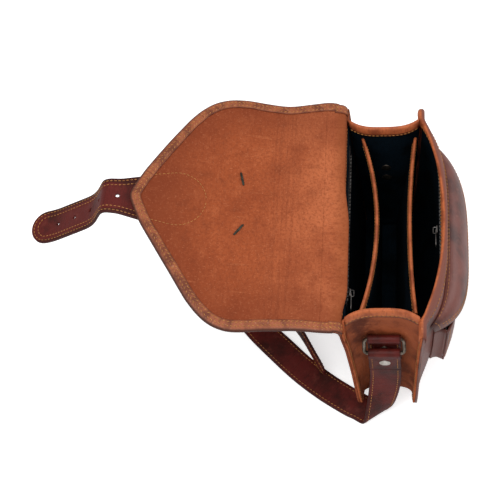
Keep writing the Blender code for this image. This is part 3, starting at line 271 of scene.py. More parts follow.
def suede_side():
    finish = Finish("suede", 0.86, gloss=0.15)
    pattern = finish.flat()
    across, along = finish.part(pattern, 0).size(), finish.part(pattern, 1)
    dye = finish.cloud(16, pattern, detail=7, rough=0.62)
    patch = finish.cloud(52, pattern, detail=6, rough=0.66)
    nap = finish.cloud(340, pattern, detail=6, rough=0.80)
    fibre = finish.streaks(820, 260, 5, 0.75)
    cross_fibre = finish.streaks(240, 760, 5, 0.75)
    scratch = finish.streaks(150, 16, 5, 0.5).ramp(0.64, 0.70)
    scuff = finish.streaks(14, 120, 4, 0.5).ramp(0.66, 0.73)
    crease = finish.streaks(9, 300, 3, 0.5).ramp(0.50, 0.60) * (along - 0.062).size().ramp(0.024, 0.004)
    # a handling stain and painted shade: darker towards the tip from handling, and darker towards both sides as
    # painted shade where the edges droop
    tip_stain_and_edge_shade = along.ramp(0.115, 0.205) * 0.75 + across.ramp(0.055, 0.130) * 0.50
    pale_fibre = (0.62, 0.230, 0.110)
    colour = finish.coats(
        (0.345, 0.076, 0.024),
        ((0.510, 0.142, 0.055), along.ramp(0.100, 0.010) * 0.9),
        ((0.250, 0.049, 0.016), dye.ramp(0.40, 0.62) * 0.6),
        ((0.480, 0.128, 0.047), patch.ramp(0.50, 0.72) * 0.55),
        ((0.170, 0.036, 0.013), patch.ramp(0.50, 0.28) * 0.5),
        ((0.145, 0.026, 0.010), tip_stain_and_edge_shade * (patch * 0.9 + 0.45)),
        ((0.55, 0.175, 0.070), scratch * 0.22),
        ((0.54, 0.165, 0.066), scuff * 0.16),
        ((0.19, 0.040, 0.015), crease * 0.28),
        ((0.20, 0.040, 0.014), nap.ramp(0.46, 0.60) * 0.52),
        (pale_fibre, fibre.ramp(0.56, 0.68) * 0.42),
        (pale_fibre, cross_fibre.ramp(0.57, 0.69) * 0.32),
        # painted shade: the suede within about 14 mm of the hinge is darkened where it curves down over the
        # fold
        ((0.23, 0.058, 0.016), along.ramp(0.014, 0.001) * 0.55))
    height = nap * 0.6 + fibre * 0.6 + patch * 1.2 - crease * 0.7 - scratch * 0.3
    return finish.wear(Base_Color=colour, Roughness=nap * 0.10 + 0.80,
                       Normal=finish.bump(height, 0.50, grain_depth))


suede = suede_side()
print("suede ready")

# %% [markdown]
# The strip that binds the flap and the mouth is thin lighter hide folded over the edge. Years of hands have
# burnished the very edge nearly black. Its pattern has the distance from the edge in x. On the front wall
# its outer half is as dark as the wall.

# %% Edge strips
burnished = (0.050, 0.014, 0.009)
worn_side = (0.13, 0.030, 0.012)


def edge_strip(name, dark_from, dark_to, side, deep, body, pale, outer=None):
    finish = Finish(name, 0.56, coat=0.04, gloss=0.3)
    across = finish.part(finish.flat(), 0)
    inward = across.size()
    dye = finish.cloud(60, detail=6, rough=0.65)
    fine = finish.cloud(480, detail=4)
    creased = finish.streaks(90, 520, 4, 0.6)
    burnt = (inward + (dye - 0.5) * 0.0022).ramp(dark_from, dark_to)
    layers = [(deep, dye.ramp(0.42, 0.64)), (pale, fine.ramp(0.54, 0.72) * 0.5),
              (deep, creased.ramp(0.52, 0.66) * 0.6), (burnished, burnt * 0.9),
              (worn_side, (inward - side).ramp(-0.0012, 0.0) * 0.6)]
    if outer:
        layers.append((outer, across.ramp(0.0012, -0.0022)))
    height = creased * 1.2 + fine * 0.5 + dye
    return finish.wear(Base_Color=finish.coats(body, *layers), Roughness=0.60 - burnt * 0.20 + fine * 0.08,
                       Normal=finish.bump(height, 0.40, grain_depth))


flap_strip = edge_strip("flap edge strip", 0.0030, 0.0006, 0.011, (0.150, 0.036, 0.015),
                        (0.340, 0.096, 0.038), (0.56, 0.250, 0.140))
mouth_look = (0.0006, -0.0006, 0.012, (0.270, 0.060, 0.020), (0.520, 0.132, 0.042), (0.64, 0.215, 0.085))
mouth_strip = edge_strip("mouth edge strip", *mouth_look)
front_edge = edge_strip("front edge strip", *mouth_look, outer=(0.190, 0.056, 0.036))
print("edge strips ready")

# %% [markdown]
# The lining is dark navy cloth, woven fine. Two crossed waves would moire at this distance, so the weave is
# made of two noises drawn out each way: one for the threads of the warp, and one for the weft.

# %% Cloth, metal, thread and board


def woven_cloth(name, deep, body, thread=1600):
    finish = Finish(name, 0.85, gloss=0.08)
    warp = finish.streaks(thread, thread * 0.16, 2)
    weft = finish.streaks(thread * 0.16, thread, 2)
    fade = finish.cloud(34, detail=5)
    colour = finish.coats(body, (deep, fade.ramp(0.42, 0.68)), (deep, warp.most(weft).ramp(0.50, 0.64) * 0.5))
    return finish.wear(Base_Color=colour, Roughness=fade * 0.12 + 0.79,
                       Normal=finish.bump(warp + weft + fade, 0.30, 0.0004))


def old_metal(name, body, dull, rust, roughness):
    finish = Finish(name, roughness, metallic=1.0)
    tarnish = finish.cloud(130, detail=6, rough=0.65)
    fine = finish.cloud(900, detail=4)
    colour = finish.coats(body, (dull, tarnish.ramp(0.40, 0.64)), (rust, fine.ramp(0.56, 0.74) * 0.6))
    rough = tarnish * 0.25 + fine * 0.15 + (roughness - 0.18)
    metal = 1.0 - tarnish.ramp(0.60, 0.80) * 0.35
    return finish.wear(Base_Color=colour, Roughness=rough, Metallic=metal,
                       Normal=finish.bump(fine + tarnish * 0.6, 0.25, 0.0003))


def waxed_thread(name, body, deep):
    finish = Finish(name, 0.62)
    ply = finish.cloud(2400, detail=2)
    worn = finish.cloud(240, detail=4)
    colour = finish.coats(body, (deep, ply.ramp(0.42, 0.62)), (deep, worn.ramp(0.50, 0.66) * 0.8))
    return finish.wear(Base_Color=colour, Roughness=worn * 0.2 + 0.5, Normal=finish.bump(ply, 0.3, 0.0002))


lining_cloth = woven_cloth("lining cloth", (0.0007, 0.0020, 0.0034), (0.0026, 0.0095, 0.0165))
tape_cloth = woven_cloth("zip tape", (0.006, 0.007, 0.008), (0.022, 0.024, 0.026), thread=2400)
board_fibre = woven_cloth("base board", (0.12, 0.08, 0.05), (0.22, 0.16, 0.10), thread=700)
aged_metal = old_metal("aged metal", (0.25, 0.21, 0.17), (0.085, 0.066, 0.052), (0.13, 0.07, 0.04),
                       roughness=0.44)
bright_metal = old_metal("rivet metal", (0.66, 0.63, 0.58), (0.40, 0.37, 0.33), (0.30, 0.22, 0.15),
                         roughness=0.34)
zip_metal = old_metal("zip metal", (0.20, 0.19, 0.18), (0.070, 0.064, 0.060), (0.10, 0.07, 0.05),
                      roughness=0.42)
leg_metal = old_metal("leg metal", (0.075, 0.070, 0.055), (0.040, 0.036, 0.028), (0.075, 0.045, 0.025),
                      roughness=0.62)
ochre_thread = waxed_thread("ochre thread", (0.60, 0.265, 0.060), (0.28, 0.098, 0.024))
dark_thread = waxed_thread("dark thread", (0.075, 0.030, 0.020), (0.030, 0.012, 0.009))
print("materials:", len(bpy.data.materials))

# %% [markdown]
# ## Making pieces
# Three helpers make nearly everything. The first rolls out a grid and lays each of its crossings where the
# piece goes: sheets, tubes and straps. The second cuts a piece of hide to an outline, slices it so that it
# can bend, and lays it. The third sews: it presses small thread beads into the surface along a line.

# %% Finishing a piece


def keep(name, sheet, paints, smooth=True):
    mesh = bpy.data.meshes.new(name)
    sheet.to_mesh(mesh)
    sheet.free()
    for paint in paints:
        mesh.materials.append(paint)
    if smooth:
        mesh.polygons.foreach_set("use_smooth", [True] * len(mesh.polygons))
    made = bpy.data.objects.new(name, mesh)
    bpy.context.scene.collection.objects.link(made)
    return made


def settle(piece):
    """Works the piece's modifiers into its mesh."""
    bpy.context.view_layer.update()
    worked = bpy.data.meshes.new_from_object(piece.evaluated_get(bpy.context.evaluated_depsgraph_get()))
    piece.modifiers.clear()
    piece.data = worked
    return piece


def thicken(piece, thick, soften=0.0, inner_paint=0, angle=35):
    """Gives a sheet its thickness, half to each side, and rounds its cut edges."""
    wall_thick = piece.modifiers.new("thickness", "SOLIDIFY")
    wall_thick.thickness = thick
    wall_thick.offset = 0
    wall_thick.material_offset = inner_paint
    if soften:
        round_off = piece.modifiers.new("rounded edge", "BEVEL")
        round_off.width = soften
        round_off.segments = 2
        round_off.limit_method = "ANGLE"
        round_off.angle_limit = math.radians(angle)
    return settle(piece)


def attach(piece, body, slot, *nodes):
    """The piece rides on a body and stands for these nodes; slot is not used."""
    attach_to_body(piece, body)
    if nodes:
        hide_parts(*nodes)
    return piece


print("finishing helpers ready")

# %% Rolling out a grid
same_place = 1e-6


def roll(name, columns, rows, lay, paint, size=(1, 1), closed=(False, False), capped=False):
    """A grid of columns by rows cells; lay(i, j) says where crossing i, j goes."""
    sheet = bmesh.new()
    flat = sheet.loops.layers.uv.new("flat")
    bmesh.ops.create_grid(sheet, x_segments=columns, y_segments=rows, size=0.5)
    spots = {}
    for face in sheet.faces:
        for loop in face.loops:
            i = (loop.vert.co.x + 0.5) * columns
            j = (loop.vert.co.y + 0.5) * rows
            spots[loop.vert] = (round(i), round(j))
            loop[flat].uv = ((i / columns - 0.5) * size[0], j / rows * size[1])
    for vert, (i, j) in spots.items():
        vert.co = lay(i, j)
    if any(closed):
        bmesh.ops.remove_doubles(sheet, verts=sheet.verts, dist=same_place)
    if capped:
        bmesh.ops.holes_fill(sheet, edges=[edge for edge in sheet.edges if edge.is_boundary], sides=0)
    if any(closed):
        bmesh.ops.recalc_face_normals(sheet, faces=sheet.faces)
    return keep(name, sheet, [paint])


def cut(name, outline, step, lay, thick, paints, soften=0.0004):
    """Hide cut to an outline of (across, along) points, sliced both ways, laid and given its thickness."""
    sheet = bmesh.new()
    face = sheet.faces.new([sheet.verts.new((across, along, 0)) for across, along in outline])
    face.normal_update()
    if face.normal.z < 0:
        face.normal_flip()
    for axis in (0, 1):
        low = min(corner[axis] for corner in outline)
        high = max(corner[axis] for corner in outline)
        for at in between(low, high, max(1, round((high - low) / step[axis])))[1:-1]:
            spot, direction = Vector(), Vector()
            spot[axis], direction[axis] = at, 1
            everything = sheet.verts[:] + sheet.edges[:] + sheet.faces[:]
            bmesh.ops.bisect_plane(sheet, geom=everything, dist=same_place, plane_co=spot, plane_no=direction)
    flat = sheet.loops.layers.uv.new("flat")
    for face in sheet.faces:
        for loop in face.loops:
            loop[flat].uv = loop.vert.co.xy
    for vert in sheet.verts:
        vert.co = lay(vert.co.x, vert.co.y)
    return thicken(keep(name, sheet, paints), thick, soften, len(paints) - 1)


def between(low, high, count):
    return [low + (high - low) * i / count for i in range(count + 1)]

print("grid and cutting helpers ready")

# %% Sewing
stitch_pitch = 0.0042
stitch_length = 0.0034
stitch_thick = 0.00085
stitch_rise = 0.12


def bead_of_thread():
    bead = bmesh.new()
    bmesh.ops.create_uvsphere(bead, u_segments=6, v_segments=4, radius=0.5)
    mesh = bpy.data.meshes.new("bead")
    bead.to_mesh(mesh)
    bead.free()
    return mesh


bead = bead_of_thread()


def sew(seam, points, normals, slant=0.0, pitch=stitch_pitch, thick=stitch_thick, length=stitch_length):
    """Adds stitches along a line of points. normals is one direction, or one for each point."""
    if isinstance(normals, Vector):
        normals = [normals] * len(points)
    travelled, due = 0.0, pitch / 2
    for (start, end), normal in zip(zip(points, points[1:]), normals):
        step = (end - start).length
        while step > 0 and due <= travelled + step:
            spot = start.lerp(end, (due - travelled) / step)
            along = (end - start).normalized()
            up = (normal - along * normal.dot(along)).normalized()
            along = Matrix.Rotation(slant, 3, up) @ along
            axes = Matrix((along * length, up.cross(along) * thick, up * thick)).transposed().to_4x4()
            stitch = bead.copy()
            stitch.transform(Matrix.Translation(spot + up * thick * stitch_rise) @ axes)
            seam.from_mesh(stitch)
            bpy.data.meshes.remove(stitch)
            due += pitch
        travelled += step


def sewn(name, seam, body):
    return attach(keep(name, seam, [ochre_thread]), body, "edge_leather")


print("one stitch has", len(bead.polygons), "faces")

# %% [markdown]
# ## The walls
# The back is nearly flat. The front bellies out below the mouth, as it has been packed full for years, and
# both walls lean outwards, so the mouth is wider than the base. lean() gives half the depth at a height and
# front_face() the place of the front wall. eased() is a smooth step, and waver() the slow noise that keeps
# leather from being flat.

# %% Shape of the walls
belly_power = 5.0
mouth_power = 2.2


def clamped(value):
    return min(1.0, max(0.0, value))


def eased(value, low, high):
    share = clamped((value - low) / (high - low))
    return share * share * (3 - 2 * share)


def waver(x, y, z):
    return noise.noise(Vector((x, y, z)))


def lean(z):
    return (base_depth + (mouth_depth - base_depth) * z / bag_height) / 2


def front_face(x, z):
    blend = clamped((z - bow_even_height) / (bag_height - bow_even_height))
    power = belly_power + (mouth_power - belly_power) * blend
    share = min(1.0, abs(x) / seam_half)
    rise = math.sin(math.pi / 2 * clamped(z / bow_height))
    return -lean(z) - front_bow * rise * (1 - share**power)


def corner(angle):
    """A place on the rounded bottom corner of the bag's side, and its outward direction."""
    out = Vector((math.cos(angle), math.sin(angle)))
    return Vector((corner_centre, corner_radius)) + out * corner_radius, out


side_stations = [corner(math.radians(angle)) for angle in (-88, -75, -62, -50, -38, -26, -13, 0)]
ear = 0.010
hinge_flare = 0.0060
ear_start = bag_height - ear
upright = between(corner_radius, ear_start, 24)[1:] + between(ear_start, bag_height, 7)[1:]
side_stations += [(Vector((seam_half, z)), Vector((1, 0))) for z in upright]


def seam_reach(z, face_sign):
    """How far a seam's edge stands out: more at the corner and at the top, where the front has an ear."""
    foot_flare = 0.0045 * eased(z, 0.100, 0.030)
    if face_sign > 0:
        return seam_edge + foot_flare + hinge_flare * eased(z, 0.140, 0.200)
    over = clamped((z - ear_start) / ear)
    return (seam_edge + foot_flare + 0.0085 * eased(z, 0.130, 0.196)) * math.sqrt(max(0.02, 1 - over**2))


def wall_cut(face_sign):
    outline = [(corner_centre, 0.0)]
    for at, out in side_stations:
        edge_at = at + out * seam_reach(at.y, face_sign) * out.x**2
        if edge_at.y > outline[-1][1]:
            outline.append((edge_at.x, edge_at.y))
    return outline + [(-x, z) for x, z in reversed(outline)]


print("wall outline points:", len(wall_cut(1)))

# %% [markdown]
# The walls are cut from thick grained hide, about 2.4 mm. Leather that has stood for years is never quite
# flat, so a slow noise moves the surface by less than a millimetre, and not at all at the seams.

# %% Front and back wall


def unevenness(x, z, seed, amount):
    calm = min(1.0, (seam_half - min(abs(x), seam_half)) / 0.03) * min(1.0, (bag_height - z) / 0.02, z / 0.02)
    return waver(x * 22 + seed, z * 22, seed) * amount * calm


def lay_back(x, z):
    return Vector((x, lean(z) - hide / 2 + unevenness(x, z, 3.1, 0.0008), min(z, bag_height - 0.0006)))


def lay_front(x, z):
    return Vector((x, front_face(x, z) + hide / 2 + unevenness(x, z, 7.7, 0.0009), z))


back_wall = cut("back_wall", wall_cut(1), (0.011, 0.009), lay_back, hide, [suede, outer_leather])
attach(back_wall, "bag", "outer_leather", "back_panel")
front_wall = cut("front_wall", wall_cut(-1), (0.008, 0.008), lay_front, hide, [outer_leather])
attach(front_wall, "bag", "outer_leather", "front_panel")


def rectangle(half, low, high):
    return [(-half, low), (half, low), (half, high), (-half, high)]


bottom_half = 0.0962
bottom_depth = base_depth / 2 - hide - gap
bottom_wall = cut("bottom_wall", rectangle(bottom_half, -bottom_depth, bottom_depth), (0.02, 0.02),
                  lambda x, y: Vector((x, y, 0.001)), 0.002, [outer_leather])
attach(bottom_wall, "bag", "outer_leather", "bottom_panel")
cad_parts["base_board"].material_slots[0].material = board_fibre
print("walls:", len(front_wall.data.polygons), "faces in front")

# %% [markdown]
# ## The gussets
# Each side is one long piece that runs down, round the corner and under. It is folded inwards along its
# middle, and its two edges turn out between the walls, where a row of stitches holds them. The stations run
# along the side, and side_section() gives the section at each of them, with the fold as an arch.

# %% Gusset section
gusset_thick = 0.0020
fold_in = 0.009
fold_deep = 0.0096


def side_section(z, out_x):
    """(y, distance out) across the side: seam edge, corner, the arch of the fold, and back again."""
    seam_y = lean(z) - hide - gap

    def half(face_sign):
        reach = seam_reach(z, face_sign) * max(out_x**2, 0.03)
        points = [(seam_y - 0.0010, reach), (seam_y - 0.0010, reach * 0.6), (seam_y - 0.0010, 0.0016),
                  (seam_y - 0.0014, 0.0002), (seam_y - 0.0026, -0.0010)]
        for share in (0.86, 0.78, 0.68, 0.57, 0.45, 0.32, 0.17):
            points.append((seam_y * share, -0.0010 - fold_deep * out_x**2 * (1 - (share / 0.93) ** 3.2)))
        return points
    back = half(1) + [(0.0, -0.0010 - fold_deep * out_x**2)]
    return back + [(-y, away) for y, away in reversed(half(-1))]


section_count = len(side_section(0.1, 1.0))


def lay_side(sign, inset=0.0, rumple=0.0):
    def lay(i, j):
        at, out = side_stations[j]
        y, away = side_section(at.y, out.x)[i]
        if abs(y) < 0.030:
            away += waver(y * 34, at.y * 30, sign * 5) * rumple * out.x**2 * eased(at.y, 0.098, 0.084)
        spot = at + out * (away - inset)
        return Vector((sign * spot.x, y, max(spot.y, 0.0012 if not inset else 0.0)))
    return lay


for prefix, sign in ends:
    gusset = roll(prefix + "_gusset_hide", section_count - 1, len(side_stations) - 1,
                  lay_side(sign, rumple=0.0018), gusset_leather, size=(0.10, 0.21))
    thicken(gusset, gusset_thick, 0.0004, angle=50)
    attach(gusset, "bag", "gusset_leather", prefix + "_gusset")
print("stations across a gusset:", section_count)

# %% Seams down the sides
for prefix, sign in ends:
    seam = bmesh.new()
    for face_sign in (-1, 1):
        outside, inside, normals = [], [], []
        for at, out in side_stations[3:-1]:
            reach = seam_reach(at.y, face_sign) * out.x**2 - 0.0032
            if reach < 0.0015 and at.y > ear_start:
                continue
            spot = at + out * reach
            x = sign * spot.x
            face_y = lean(spot.y) if face_sign > 0 else front_face(x, spot.y)
            outside.append(Vector((x, face_y, spot.y)))
            inside.append(Vector((x, face_sign * (lean(spot.y) - hide - gap - gusset_thick), spot.y)))
            normals.append(Vector((0, face_sign, 0)))
        sew(seam, outside, normals)
        sew(seam, inside, [-normal for normal in normals])
    sewn(prefix + "_side_seams", seam, "bag")
print("side seams sewn")

# %% [markdown]
# ## Lining and dividers
# The cloth lines all four walls and the floor a hair inside the leather. Two cloth dividers hang between
# the sides and gather towards the base, each with a narrow leather strip folded over its top. Cloth sags
# between its ends, so the dividers bow and ripple a little.

# %% Lining
lining_top = bag_height - 0.0067
base_floor = 0.0059
lining_half = seam_half - gusset_thick - gap - cloth - gap
cloth_columns = 40
wall_rows = 30
lining_skip = 3


def lining_half_at(z):
    radius = corner_radius - 0.0036
    fall = max(0.0, corner_radius - z)
    return min(lining_half, corner_centre + math.sqrt(max(0.0, radius**2 - fall**2))) + 0.0008


def lay_wall_lining(face, sign):
    def lay(i, j):
        top = lining_top + waver(i * 0.3, 4.4, sign) * 0.0022 * (sign > 0)
        z = base_floor + (top - base_floor) * (j / wall_rows)
        x = (i / cloth_columns * 2 - 1) * lining_half_at(z)
        return Vector((x, face(x, z) - sign * (wall - cloth / 2), z))
    return lay


for side, sign, face, pattern_high in (("back", 1, lambda x, z: lean(z), 0.19),
                                       ("front", -1, front_face, 0.20)):
    piece = roll(side + "_lining_cloth", cloth_columns, wall_rows, lay_wall_lining(face, sign), lining_cloth,
                 (0.229, pattern_high))
    thicken(piece, cloth)
    attach(piece, "bag", "lining", side + "_lining")

inner_stations = [entry for entry in side_stations if entry[1].x > 0.45 and entry[0].y < lining_top]
first = side_stations.index(inner_stations[0])
for prefix, sign in ends:
    inside = lay_side(sign, gusset_thick / 2 + gap + cloth / 2)
    side_cloth = roll(prefix + "_lining_cloth", section_count - 1 - 2 * lining_skip, len(inner_stations) - 1,
                      lambda i, j: inside(i + lining_skip, j + first), lining_cloth, (0.080, 0.19))
    thicken(side_cloth, cloth * 0.8)
    attach(side_cloth, "bag", "lining", prefix + "_lining")
    prefix + "_gusset_hide"


def lay_floor_cloth(x, y):
    """Flat on the board, and turned up into the rounded corner at its two ends."""
    radius = corner_radius - gusset_thick / 2 - gap * 2 - cloth * 2
    fall = min(radius, max(0.0, abs(x) - corner_centre))
    return Vector((x, y, max(0.0051, corner_radius - math.sqrt(radius**2 - fall**2))))


floor_right = [(0.1115, -0.0300), (0.1115, -0.0280), (0.1070, -0.0240), (0.1065, 0.0285)]
floor_cut = floor_right + [(-across, along) for across, along in reversed(floor_right)]
floor_cloth = cut("floor_lining_cloth", floor_cut, (0.005, 0.03), lay_floor_cloth, cloth, [lining_cloth],
                  soften=0)
attach(floor_cloth, "bag", "lining", "bottom_lining")
print("lining laid")

# %% Dividers
divider_height = 0.188
divider_half = 0.104
divider_rows = 26


def folded_half(z):
    inner = []
    for at, out in side_stations:
        spot = at - out * (fold_in * out.x**2 + gusset_thick + cloth + gap * 4)
        inner.append((spot.y, spot.x))
    for (low, near), (high, far) in zip(inner, inner[1:]):
        if z <= high:
            return min(divider_half, near + (far - near) * max(0.0, z - low) / (high - low))
    return divider_half


def divider_y(sign, top, bow):
    """y of a divider at a place: sign is +1 for the back one; it bows towards the front at its top."""
    def place(x, z):
        at_top = sign * top - bow * (1 - (x / divider_half) ** 2)
        share = z / divider_height
        ripple = waver(x * 30, z * 12, sign * 9) * 0.0010 * math.sin(math.pi * min(1.0, share))
        return sign * 0.009 + (at_top - sign * 0.009) * share + ripple
    return place


divider_places = {"back": divider_y(1, 0.023, 0.016), "front": divider_y(-1, 0.033, -0.006)}


def lay_divider(place):
    def lay(i, j):
        z = base_floor + (divider_height - base_floor) * j / divider_rows
        x = (i / cloth_columns * 2 - 1) * folded_half(z)
        return Vector((x, place(x, z), z))
    return lay


strip_profile = [(0.0095, -0.0014), (0.0050, -0.0014), (0.0012, -0.0013), (0.0000, -0.0008), (-0.0006, 0.0),
                 (0.0000, 0.0008), (0.0012, 0.0013), (0.0050, 0.0014), (0.0095, 0.0014)]


def lay_divider_strip(place):
    def lay(i, j):
        x = (j / cloth_columns * 2 - 1) * (divider_half - gap)
        down, away = strip_profile[i]
        wave = 1 + waver(x * 60, down * 300, 4) * 0.12
        return Vector((x, place(x, divider_height - down) + away * wave, divider_height + 0.0008 - down))
    return lay


for prefix, place in divider_places.items():
    divider = roll(prefix + "_divider_cloth", cloth_columns, divider_rows, lay_divider(place), lining_cloth,
                   (0.208, 0.18))
    thicken(divider, 0.0018)
    attach(divider, "bag", "lining", prefix + "_divider")
    strip = roll(prefix + "_divider_strip", len(strip_profile) - 1, cloth_columns, lay_divider_strip(place),
                 mouth_strip, (0.024, 0.208))
    thicken(strip, 0.0007)
    attach(strip, "bag", "edge_leather", prefix + "_divider_edge")
    seam = bmesh.new()
    for side in (-1, 1):
        spots = [Vector((x, place(x, divider_height - 0.006) + side * 0.00215, divider_height - 0.0055))
                 for x in between(-0.100, 0.100, 60)]
        sew(seam, spots, Vector((0, side, 0)), thick=0.0006, pitch=0.0036, length=0.0028)
    sewn(prefix + "_divider_seam", seam, "bag")
print("dividers hung")

# %% [markdown]
# ## The mouth's edge
# A strip is folded over the top of the front wall and its lining, and over the top of each gusset. The same
# rounded section is carried along each of them.

# %% Mouth strips
edge_drop = 0.011
edge_columns = 10
seam_skip = 4
edge_thick = 0.0008
front_steps = 72
seam_down = 0.0085
mouth_stitches = between(-0.112, 0.112, 80)


def fold_section(inside):
    """(away, up) round a strip folded over a wall whose far face is that far in; up is from its top."""
    outer, inner = 0.0008, -inside - 0.0008
    middle = (outer + inner) / 2
    over = [(middle + (side - middle) * 0.45, 0.0009) for side in (outer, inner)]
    return [(outer, -edge_drop), (outer + 0.0002, -edge_drop * 0.6), (outer, -0.0022),
            (outer - 0.0007, -0.0003), over[0], (middle, 0.0012), over[1], (inner + 0.0007, -0.0003),
            (inner, -0.0022), (inner - 0.0002, -edge_drop * 0.6), (inner, -edge_drop)]


def lay_front_strip(i, j):
    x = (j / front_steps * 2 - 1) * 0.1345
    inside = wall + (hide + gap + gusset_thick - wall) * eased(abs(x), 0.112, 0.118)
    away, up = fold_section(inside)[i]
    wave = waver(x * 45, up * 200, 2) * 0.0003
    out = clamped((abs(x) - seam_half) / 0.0175)
    up -= ear * (1 - math.sqrt(1 - out**2))
    return Vector((x, front_face(x, min(bag_height, bag_height + up)) - away + wave, bag_height + up))


def lay_side_strip(sign):
    def lay(i, j):
        away, up = fold_section(gusset_thick + gap + cloth)[i]
        y, inward = side_section(min(bag_height, bag_height + up), 1.0)[j + seam_skip]
        return Vector((sign * (seam_half + inward + 0.0010 + away), y, bag_height + up))
    return lay


front_strip = roll("front_mouth_strip", edge_columns, front_steps, lay_front_strip, front_edge,
                   (0.028, 0.269))
thicken(front_strip, edge_thick)
attach(front_strip, "bag", "edge_leather", "front_mouth_edge")
seam = bmesh.new()
for facing, down, off in ((-1, seam_down, -0.0014), (1, 0.006, wall + 0.0014)):
    z = bag_height - down
    sew(seam, [Vector((x, front_face(x, z) + off, z)) for x in mouth_stitches], Vector((0, facing, 0)))
sewn("front_mouth_seam", seam, "bag")
for prefix, sign in ends:
    strip = roll(prefix + "_mouth_strip", edge_columns, section_count - 1 - 2 * seam_skip,
                 lay_side_strip(sign), mouth_strip, (0.028, 0.08))
    thicken(strip, edge_thick)
    attach(strip, "bag", "edge_leather", prefix + "_mouth_edge")
    seam = bmesh.new()
    z = bag_height - 0.007
    for away, facing in ((0.0024, 1), (-0.0052, -1)):
        spots = [Vector((sign * (seam_half + inward + away), y, z))
                 for y, inward in side_section(z, 1.0)[seam_skip:-seam_skip]]
        sew(seam, spots, Vector((sign * facing, 0, 0)))
    sewn(prefix + "_mouth_seam", seam, "bag")
print("mouth strips folded over")

# %% [markdown]
# ## Zips inside
# Each inner wall carries a closed zip: a cloth tape and a chain of small metal teeth. A slider runs on the
# chain and a long flat pull hangs from it.

# %% Tapes and teeth
zip_height = 0.182
zip_tape = 0.018
tape_thick = 0.0008
zip_chain = 0.005
tooth_pitch = 0.0022
tape_face = wall + gap
zip_halves = {"back": 0.088, "front": 0.066}


def inner_wall(side):
    """(x, z, how far in) to a place inside the back or the front wall."""
    if side == "back":
        return lambda x, z, depth: Vector((x, lean(z) - depth, z))
    return lambda x, z, depth: Vector((x, front_face(x, z) + depth, z))


for side, half in zip_halves.items():
    into = inner_wall(side)
    reach = half + 0.006
    middle_depth = tape_face + tape_thick / 2

    def lay_tape(i, j):
        return into((i / 24 - 1) * reach, zip_height + (j / 6 - 0.5) * zip_tape, middle_depth)
    tape = roll(side + "_zip_tape", 48, 6, lay_tape, tape_cloth, (reach * 2, zip_tape))
    thicken(tape, tape_thick)
    attach(tape, "bag", "zip_tape", side + "_zip")
    reach * 2
    teeth = bmesh.new()
    size = Matrix.Diagonal((tooth_pitch * 0.62, 0.0013, zip_chain * 0.72, 1))
    for count in range(int(half * 2 / tooth_pitch)):
        shift = zip_chain / 8 * (-1) ** count
        spot = into(-half + (count + 0.5) * tooth_pitch, zip_height + shift, tape_face + tape_thick + 0.0006)
        bmesh.ops.create_cube(teeth, size=1, matrix=Matrix.Translation(spot) @ size)
    attach(keep(side + "_zip_teeth", teeth, [zip_metal], smooth=False), "bag", "zip_tape")
    seam = bmesh.new()
    inwards = Vector((0, -1 if side == "back" else 1, 0))
    for up in (-zip_tape / 2 + 0.0015, zip_tape / 2 - 0.0015):
        spots = [into(x, zip_height + up, tape_face + tape_thick) for x in between(-reach, reach, 60)]
        sew(seam, spots, inwards, pitch=0.003, thick=0.00045, length=0.0022)
    attach(keep(side + "_zip_seam", seam, [dark_thread]), "bag", "zip_tape")
print("teeth on each zip:", {side: int(half * 2 / tooth_pitch) for side, half in zip_halves.items()})

# %% [markdown]
# ## The flap
# The flap is one hide, cut to a shield shape and laid back. Its outline is given as shares of its length
# and half width, then evened out so that no corner shows. A strip of thin leather is folded over its whole
# edge.

# %% Flap outline
hinge_place = Vector((0, 0.0408, 0.2076))
flap_rise = math.radians(10)
flap_skew = 0.016
flap_half = 0.134
flap_ahead = Vector((0, math.cos(flap_rise), math.sin(flap_rise)))
flap_up = Vector((0, -math.sin(flap_rise), math.cos(flap_rise)))
far_shares = [(0, 1.0), (0.07, 1.02), (0.15, 0.995), (0.27, 0.965), (0.37, 0.972), (0.47, 0.992),
              (0.55, 0.988), (0.60, 0.968), (0.65, 0.927), (0.70, 0.855), (0.742, 0.772), (0.843, 0.515),
              (0.95, 0.228), (1.0125, 0)]
near_shares = [(0, 1.0), (0.07, 1.01), (0.20, 1.0), (0.33, 1.01), (0.43, 1.035), (0.50, 1.045),
               (0.56, 1.025), (0.61, 0.985), (0.65, 0.93), (0.70, 0.84), (0.83, 0.52), (0.95, 0.222)]
outline_spacing = 0.0035


def even(points, spacing, rounds):
    """The same line through points at even spacing, with its corners eased."""
    lengths = [0.0]
    for start, end in zip(points, points[1:]):
        lengths.append(lengths[-1] + (end - start).length)
    count = round(lengths[-1] / spacing)
    placed, i = [], 0
    for step in range(count + 1):
        wanted = lengths[-1] * step / count
        while i < len(points) - 2 and lengths[i + 1] < wanted:
            i += 1
        placed.append(points[i].lerp(points[i + 1], (wanted - lengths[i]) / (lengths[i + 1] - lengths[i])))
    for _ in range(rounds):
        middle = [(a + b * 2 + c) / 4 for a, b, c in zip(placed, placed[1:], placed[2:])]
        placed = [placed[0]] + middle + [placed[-1]]
    return placed


def inward_of(line):
    """The direction to the left of a flat line, at each of its points."""
    turned = []
    for i in range(len(line)):
        ahead = (line[min(i + 1, len(line) - 1)] - line[max(i - 1, 0)]).normalized()
        turned.append(Vector((-ahead.y, ahead.x)))
    return turned


right_side = [Vector((half * flap_half, share * flap_length)) for share, half in far_shares]
left_side = [Vector((-half * flap_half, share * flap_length)) for share, half in reversed(near_shares)]
flap_line = [at for at in even(right_side + left_side, outline_spacing, 5) if at.y > 0.005]
flap_inward = inward_of(flap_line)


